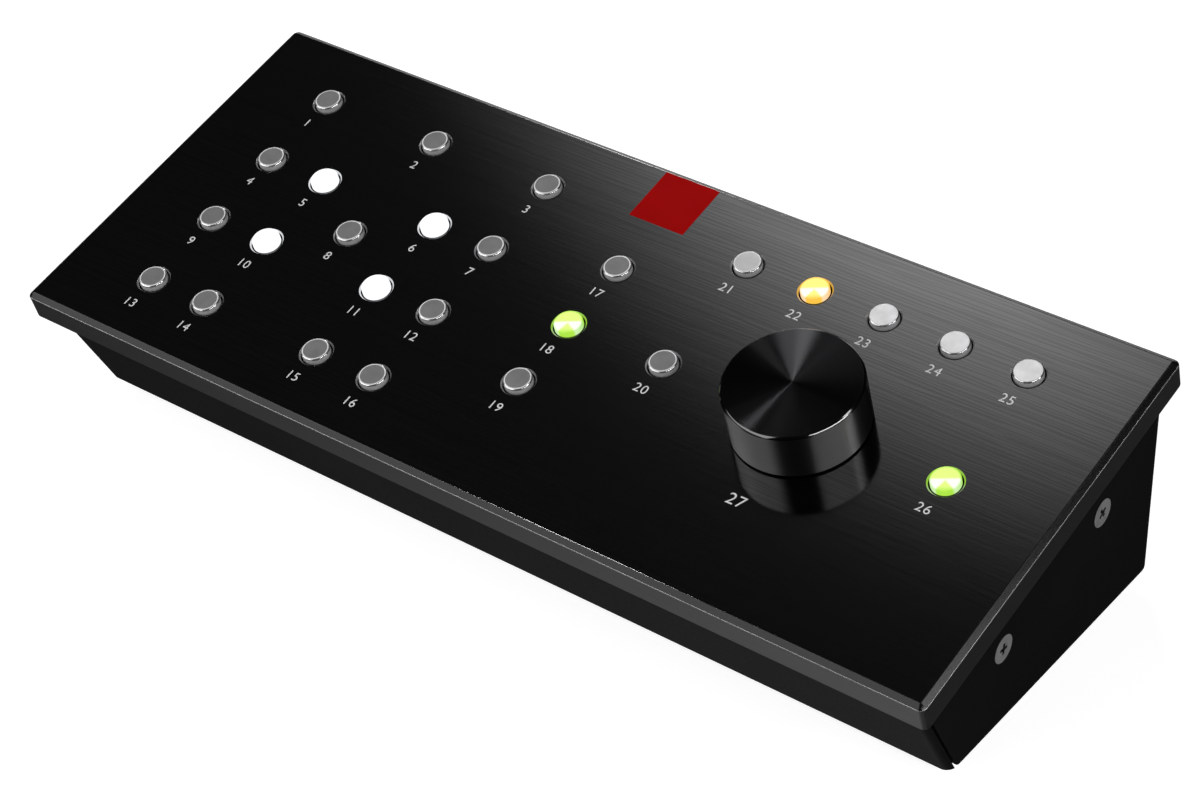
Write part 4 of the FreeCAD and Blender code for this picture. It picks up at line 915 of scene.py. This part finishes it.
# ---------------------------------------------------------------- printed numbers
# Silver-grey screen print on the plate: one plain number in front of each key, and the next one,
# a little larger, in front of the knob.
NUMBER_HEIGHT = 0.0021
FIGURE_SHARE = 0.7
PRINT_LIFT = 0.00002
NUMBER_DROP = 0.00715
NUMBER_SHIFT = -0.0003
KNOB_NUMBER = (0.0026, KNOB_X, -0.0214)
print_grey = even_finish("silver_print", (0.66, 0.66, 0.66), (0.76, 0.76, 0.76), (0.45, 0.6),
                         clouds=900.0, tooth=9000.0, depth=0.000003)
marks = [(NUMBER_HEIGHT, x + NUMBER_SHIFT, y - NUMBER_DROP) for x, y in KEYS] + [KNOB_NUMBER]
figures = []
for number, (height, x, y) in enumerate(marks, 1):
    clear_selection()
    bpy.ops.object.text_add(location=(x, y, PRINT_LIFT))
    figure = bpy.context.object
    figure.data.body = str(number)
    figure.data.size = height / FIGURE_SHARE
    figure.data.align_x = "CENTER"
    figure.data.align_y = "CENTER"
    figure.data.space_character = 1.1
    bpy.ops.object.convert(target="MESH")
    settle()
    figures.append(bpy.context.object)
numbers = join(figures, "key_numbers")
numbers.data.materials.clear()
numbers.data.materials.append(print_grey)
lay_on_panel(numbers)
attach(numbers, "case")


# ---------------------------------------------------------------- red tile
# A plain square of red enamel print at the plate's rear edge, between the two key fields.
TILE = 0.0133
TILE_REAR = 0.0432
TILE_THICKNESS = 0.00004
TILE_EDGE = 0.00001
tile = start_block("red_tile", (TILE, TILE, TILE_THICKNESS),
                   (0, TILE_REAR - TILE / 2, TILE_THICKNESS / 2))
round_edges(tile, TILE_EDGE, 2, lambda a, b: a.z > 0 and b.z > 0)
red_enamel = even_finish("red_enamel", (0.33, 0.0, 0.0), (0.36, 0.0003, 0.0003), (0.4, 0.5),
                         clouds=150.0, tooth=4000.0, depth=0.000003, specular=0.03)
tile.data.materials.append(red_enamel)
lay_on_panel(tile)
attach(tile, "case")


# ---------------------------------------------------------------- volume knob
# Turned from solid aluminium: the top is spun in fine circles, the rim diamond cut and the side
# polished, then anodised black. Inside, a recess clears the encoder's nut. A headless screw at
# the rear side holds it on the shaft's flat.
KNOB_RADIUS = 0.01365
KNOB_TOP = 0.011
KNOB_BASE = 0.0005
KNOB_RIM = 0.00048
NUT_ROOM_RADIUS = 0.0095
NUT_ROOM_TOP = 0.0045
BORE_RADIUS = 0.00302
BORE_TOP = 0.0091
KNOB_EDGE = 0.00005
KNOB_STEP = 0.0021
SET_SCREW_RADIUS = 0.00155
SET_SCREW_HEIGHT = 0.0068
knob = start_round("knob", KNOB_RADIUS, KNOB_TOP - KNOB_BASE, (0, 0, (KNOB_TOP + KNOB_BASE) / 2),
                   sides=192)
round_edges(knob, KNOB_RIM, 1, lambda a, b: a.z > KNOB_TOP - 1e-7 and b.z > KNOB_TOP - 1e-7)
pick_faces(knob, lambda face: face.normal.z < -0.9)
bpy.ops.mesh.inset(thickness=KNOB_RADIUS - NUT_ROOM_RADIUS)
bpy.ops.mesh.extrude_region_move(TRANSFORM_OT_translate={"value": (0, 0, NUT_ROOM_TOP - KNOB_BASE)})
bpy.ops.mesh.inset(thickness=NUT_ROOM_RADIUS - BORE_RADIUS)
bpy.ops.mesh.extrude_region_move(TRANSFORM_OT_translate={"value": (0, 0, BORE_TOP - NUT_ROOM_TOP)})
leave_edit()
round_edges(knob, KNOB_EDGE, 2, lambda a, b: abs(a.z - b.z) < 1e-7
            and math.hypot(a.x, a.y) > KNOB_RADIUS - KNOB_RIM - 0.00005
            and (a.z < KNOB_BASE + 1e-7 or a.z > KNOB_TOP - KNOB_RIM - 0.00001))
pick_faces(knob, lambda face: face.normal.z > 0.99 and face.center.z > KNOB_TOP - 1e-6)
for _ in range(6):
    bpy.ops.mesh.inset(thickness=KNOB_STEP)
bpy.ops.mesh.poke()
leave_edit()
cut_away(knob, start_round("screw_hole", SET_SCREW_RADIUS, 0.012,
                           (0, KNOB_RADIUS - 0.004, SET_SCREW_HEIGHT), sides=48,
                           turn=(math.pi / 2, 0, 0)))

# A UV that runs round the axis in U and outwards in V, for the direction of the spun circles.
spin = knob.data.uv_layers.new(name="spin")
for face in knob.data.polygons:
    start = math.atan2(face.center.y, face.center.x)
    for loop in face.loop_indices:
        at = knob.data.vertices[knob.data.loops[loop].vertex_index].co
        out = math.hypot(at.x, at.y)
        turn = math.atan2(at.y, at.x) if out > 1e-6 else start
        turn = start + (turn - start + math.pi) % (2 * math.pi) - math.pi
        spin.data[loop].uv = (turn / (2 * math.pi), out / KNOB_RADIUS + at.z / KNOB_TOP)


def spun_finish(name, dark, light, rough, aniso, depth, lean=0.0):
    """Turned metal: fine circles about the knob's axis, whose flanks may all lean outwards."""
    material, tree, shader, where = new_finish(name)
    centred = tree.nodes.new("ShaderNodeMapping")
    centred.vector_type = "TEXTURE"
    centred.inputs["Location"].default_value = (KNOB_X, *PANEL_PLACE[1:])
    centred.inputs["Rotation"].default_value = (PANEL_TILT, 0, 0)
    tree.links.new(where, centred.inputs["Vector"])
    parts = tree.nodes.new("ShaderNodeSeparateXYZ")
    tree.links.new(centred.outputs["Vector"], parts.inputs["Vector"])
    flat = tree.nodes.new("ShaderNodeCombineXYZ")
    tree.links.new(parts.outputs["X"], flat.inputs["X"])
    tree.links.new(parts.outputs["Y"], flat.inputs["Y"])
    out = tree.nodes.new("ShaderNodeVectorMath")
    out.operation = "LENGTH"
    tree.links.new(flat.outputs["Vector"], out.inputs[0])
    circles = tree.nodes.new("ShaderNodeTexNoise")
    circles.noise_dimensions = "1D"
    circles.inputs["Scale"].default_value = 5000.0
    circles.inputs["Detail"].default_value = 3.0
    distance = out.outputs["Value"]
    tree.links.new(worked(tree, "ADD", distance, parts.outputs["Z"]), circles.inputs["W"])
    tree.links.new(between(tree, circles.outputs["Fac"], dark, light), shader.inputs["Base Color"])
    tree.links.new(span(tree, circles.outputs["Fac"], *rough), shader.inputs["Roughness"])
    shader.inputs["Metallic"].default_value = 1.0
    shader.inputs["Anisotropic"].default_value = aniso
    shader.inputs["Anisotropic Rotation"].default_value = 0.25
    if aniso:
        along = tree.nodes.new("ShaderNodeTangent")
        along.direction_type = "UV_MAP"
        along.uv_map = "spin"
        tree.links.new(along.outputs["Tangent"], shader.inputs["Tangent"])
    marks = worked(tree, "MULTIPLY", circles.outputs["Fac"], depth)
    flanks = worked(tree, "MULTIPLY_ADD", distance, -math.tan(math.radians(lean)), marks)
    relief(tree, shader, flanks, 1.0, 1.0)
    return material


knob_side = spun_finish("knob_side", (0.12, 0.12, 0.122), (0.16, 0.16, 0.163), (0.32, 0.36),
                        aniso=1.0, depth=1e-7)
knob_face = spun_finish("knob_face", (0.018, 0.018, 0.0193), (0.023, 0.023, 0.0245), (0.19, 0.22),
                        aniso=1.0, depth=2e-7, lean=6)
knob_rim = spun_finish("knob_rim", (0.062, 0.062, 0.0625), (0.076, 0.076, 0.077), (0.07, 0.10),
                       aniso=0.0, depth=2e-7)
for finish in (knob_side, knob_face, knob_rim):
    knob.data.materials.append(finish)
ON_KNOB_FACE, ON_KNOB_RIM = 1, 2
for face in knob.data.polygons:
    if face.center.z > KNOB_TOP - 1e-5 and face.normal.z > 0.99:
        face.material_index = ON_KNOB_FACE
    elif 0.1 < face.normal.z < 0.99 and face.center.z > KNOB_TOP - 0.0006:
        face.material_index = ON_KNOB_RIM
smooth(knob)
make_active(knob)
knob.location = (KNOB_X, 0, 0)
settle()
lay_on_panel(knob)
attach(knob, "knob")
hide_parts("volume_knob")


# ---------------------------------------------------------------- hardware under the plate
# Bright zinc plated steel: the bonded brackets, the pressed-in standoffs and their screws, and the
# encoder with its shaft, washer and nut. They are stock turned and pressed parts.
def dress(finish, *names):
    """Gives carried-over solids their finish."""
    for name in names:
        nodes[name].data.materials.clear()
        nodes[name].data.materials.append(finish)


zinc = even_finish("bright_zinc", (0.50, 0.50, 0.49), (0.66, 0.66, 0.66), (0.22, 0.4), metal=1.0,
                   clouds=220.0, tooth=3500.0)
dress(zinc, "bracket_left", "bracket_right", "board_standoffs", "board_screws", "encoder_body",
      "encoder_shaft", "encoder_washer", "encoder_nut", "io_standoffs", "io_screws")
oxide = even_finish("black_oxide", (0.02, 0.02, 0.02), (0.05, 0.05, 0.05), (0.3, 0.5), metal=0.8,
                    clouds=500.0)
dress(oxide, "knob_set_screw")


# ---------------------------------------------------------------- boards
# Glass-fibre laminate under a green solder mask, with faint tracks showing through it, and the
# black moulded chip, headers and key switches that are soldered on.
mask, tree, shader, where = new_finish("green_solder_mask")
tracks = tree.nodes.new("ShaderNodeTexVoronoi")
tracks.feature = "DISTANCE_TO_EDGE"
tracks.inputs["Scale"].default_value = 260.0
tree.links.new(where, tracks.inputs["Vector"])
spots = use_group(tree, mottling, where, Clouds=90.0, Tooth=4000.0)
copper = span(tree, tracks.outputs["Distance"], 1.0, 0.0, 0.02, 0.06)
lacquer = between(tree, spots.outputs["Cloud"], (0.008, 0.075, 0.03), (0.012, 0.10, 0.04))
tree.links.new(blended(tree, copper, lacquer, (0.03, 0.19, 0.07)), shader.inputs["Base Color"])
tree.links.new(span(tree, spots.outputs["Grain"], 0.25, 0.4), shader.inputs["Roughness"])
relief(tree, shader, copper, 0.3, 0.00003)
dress(mask, "main_board", "io_board")

moulding = even_finish("black_moulding", (0.012, 0.012, 0.013), (0.03, 0.03, 0.032), (0.4, 0.6),
                       clouds=300.0, tooth=6000.0)
dress(moulding, "controller_chip", "board_header", "io_header", "key_switches")
lens = even_finish("lamp_lens", (0.75, 0.72, 0.50), (0.90, 0.88, 0.70), (0.1, 0.2), clouds=900.0,
                   tooth=9000.0)
dress(lens, "key_leds")

ribbon, tree, shader, where = new_finish("ribbon_jacket")
cores = tree.nodes.new("ShaderNodeTexWave")
cores.bands_direction = "X"
cores.inputs["Scale"].default_value = 245.0
tree.links.new(where, cores.inputs["Vector"])
tree.links.new(between(tree, cores.outputs["Fac"], (0.16, 0.165, 0.18), (0.36, 0.37, 0.40)),
               shader.inputs["Base Color"])
shader.inputs["Roughness"].default_value = 0.45
relief(tree, shader, cores.outputs["Fac"], 0.6, 0.0003)
dress(ribbon, "ribbon_cable")


# ---------------------------------------------------------------- rear sockets
# A square data socket with a folded, nickel plated shell round a white moulding, and a black
# moulded network socket. Both stand on the rear board and reach through the rear wall.
nickel = even_finish("nickel_plate", (0.55, 0.54, 0.52), (0.72, 0.71, 0.69), (0.18, 0.32),
                     metal=1.0, clouds=180.0, tooth=3000.0)
dress(nickel, "usb_shell")
ivory = even_finish("white_moulding", (0.72, 0.72, 0.70), (0.82, 0.82, 0.80), (0.35, 0.5),
                    clouds=250.0)
dress(ivory, "usb_insert")
gold = even_finish("gold_flash", (0.75, 0.52, 0.20), (0.88, 0.66, 0.30), (0.18, 0.3),
                   metal=1.0, clouds=800.0)
dress(gold, "usb_contacts", "network_contacts")
dress(moulding, "network_socket")
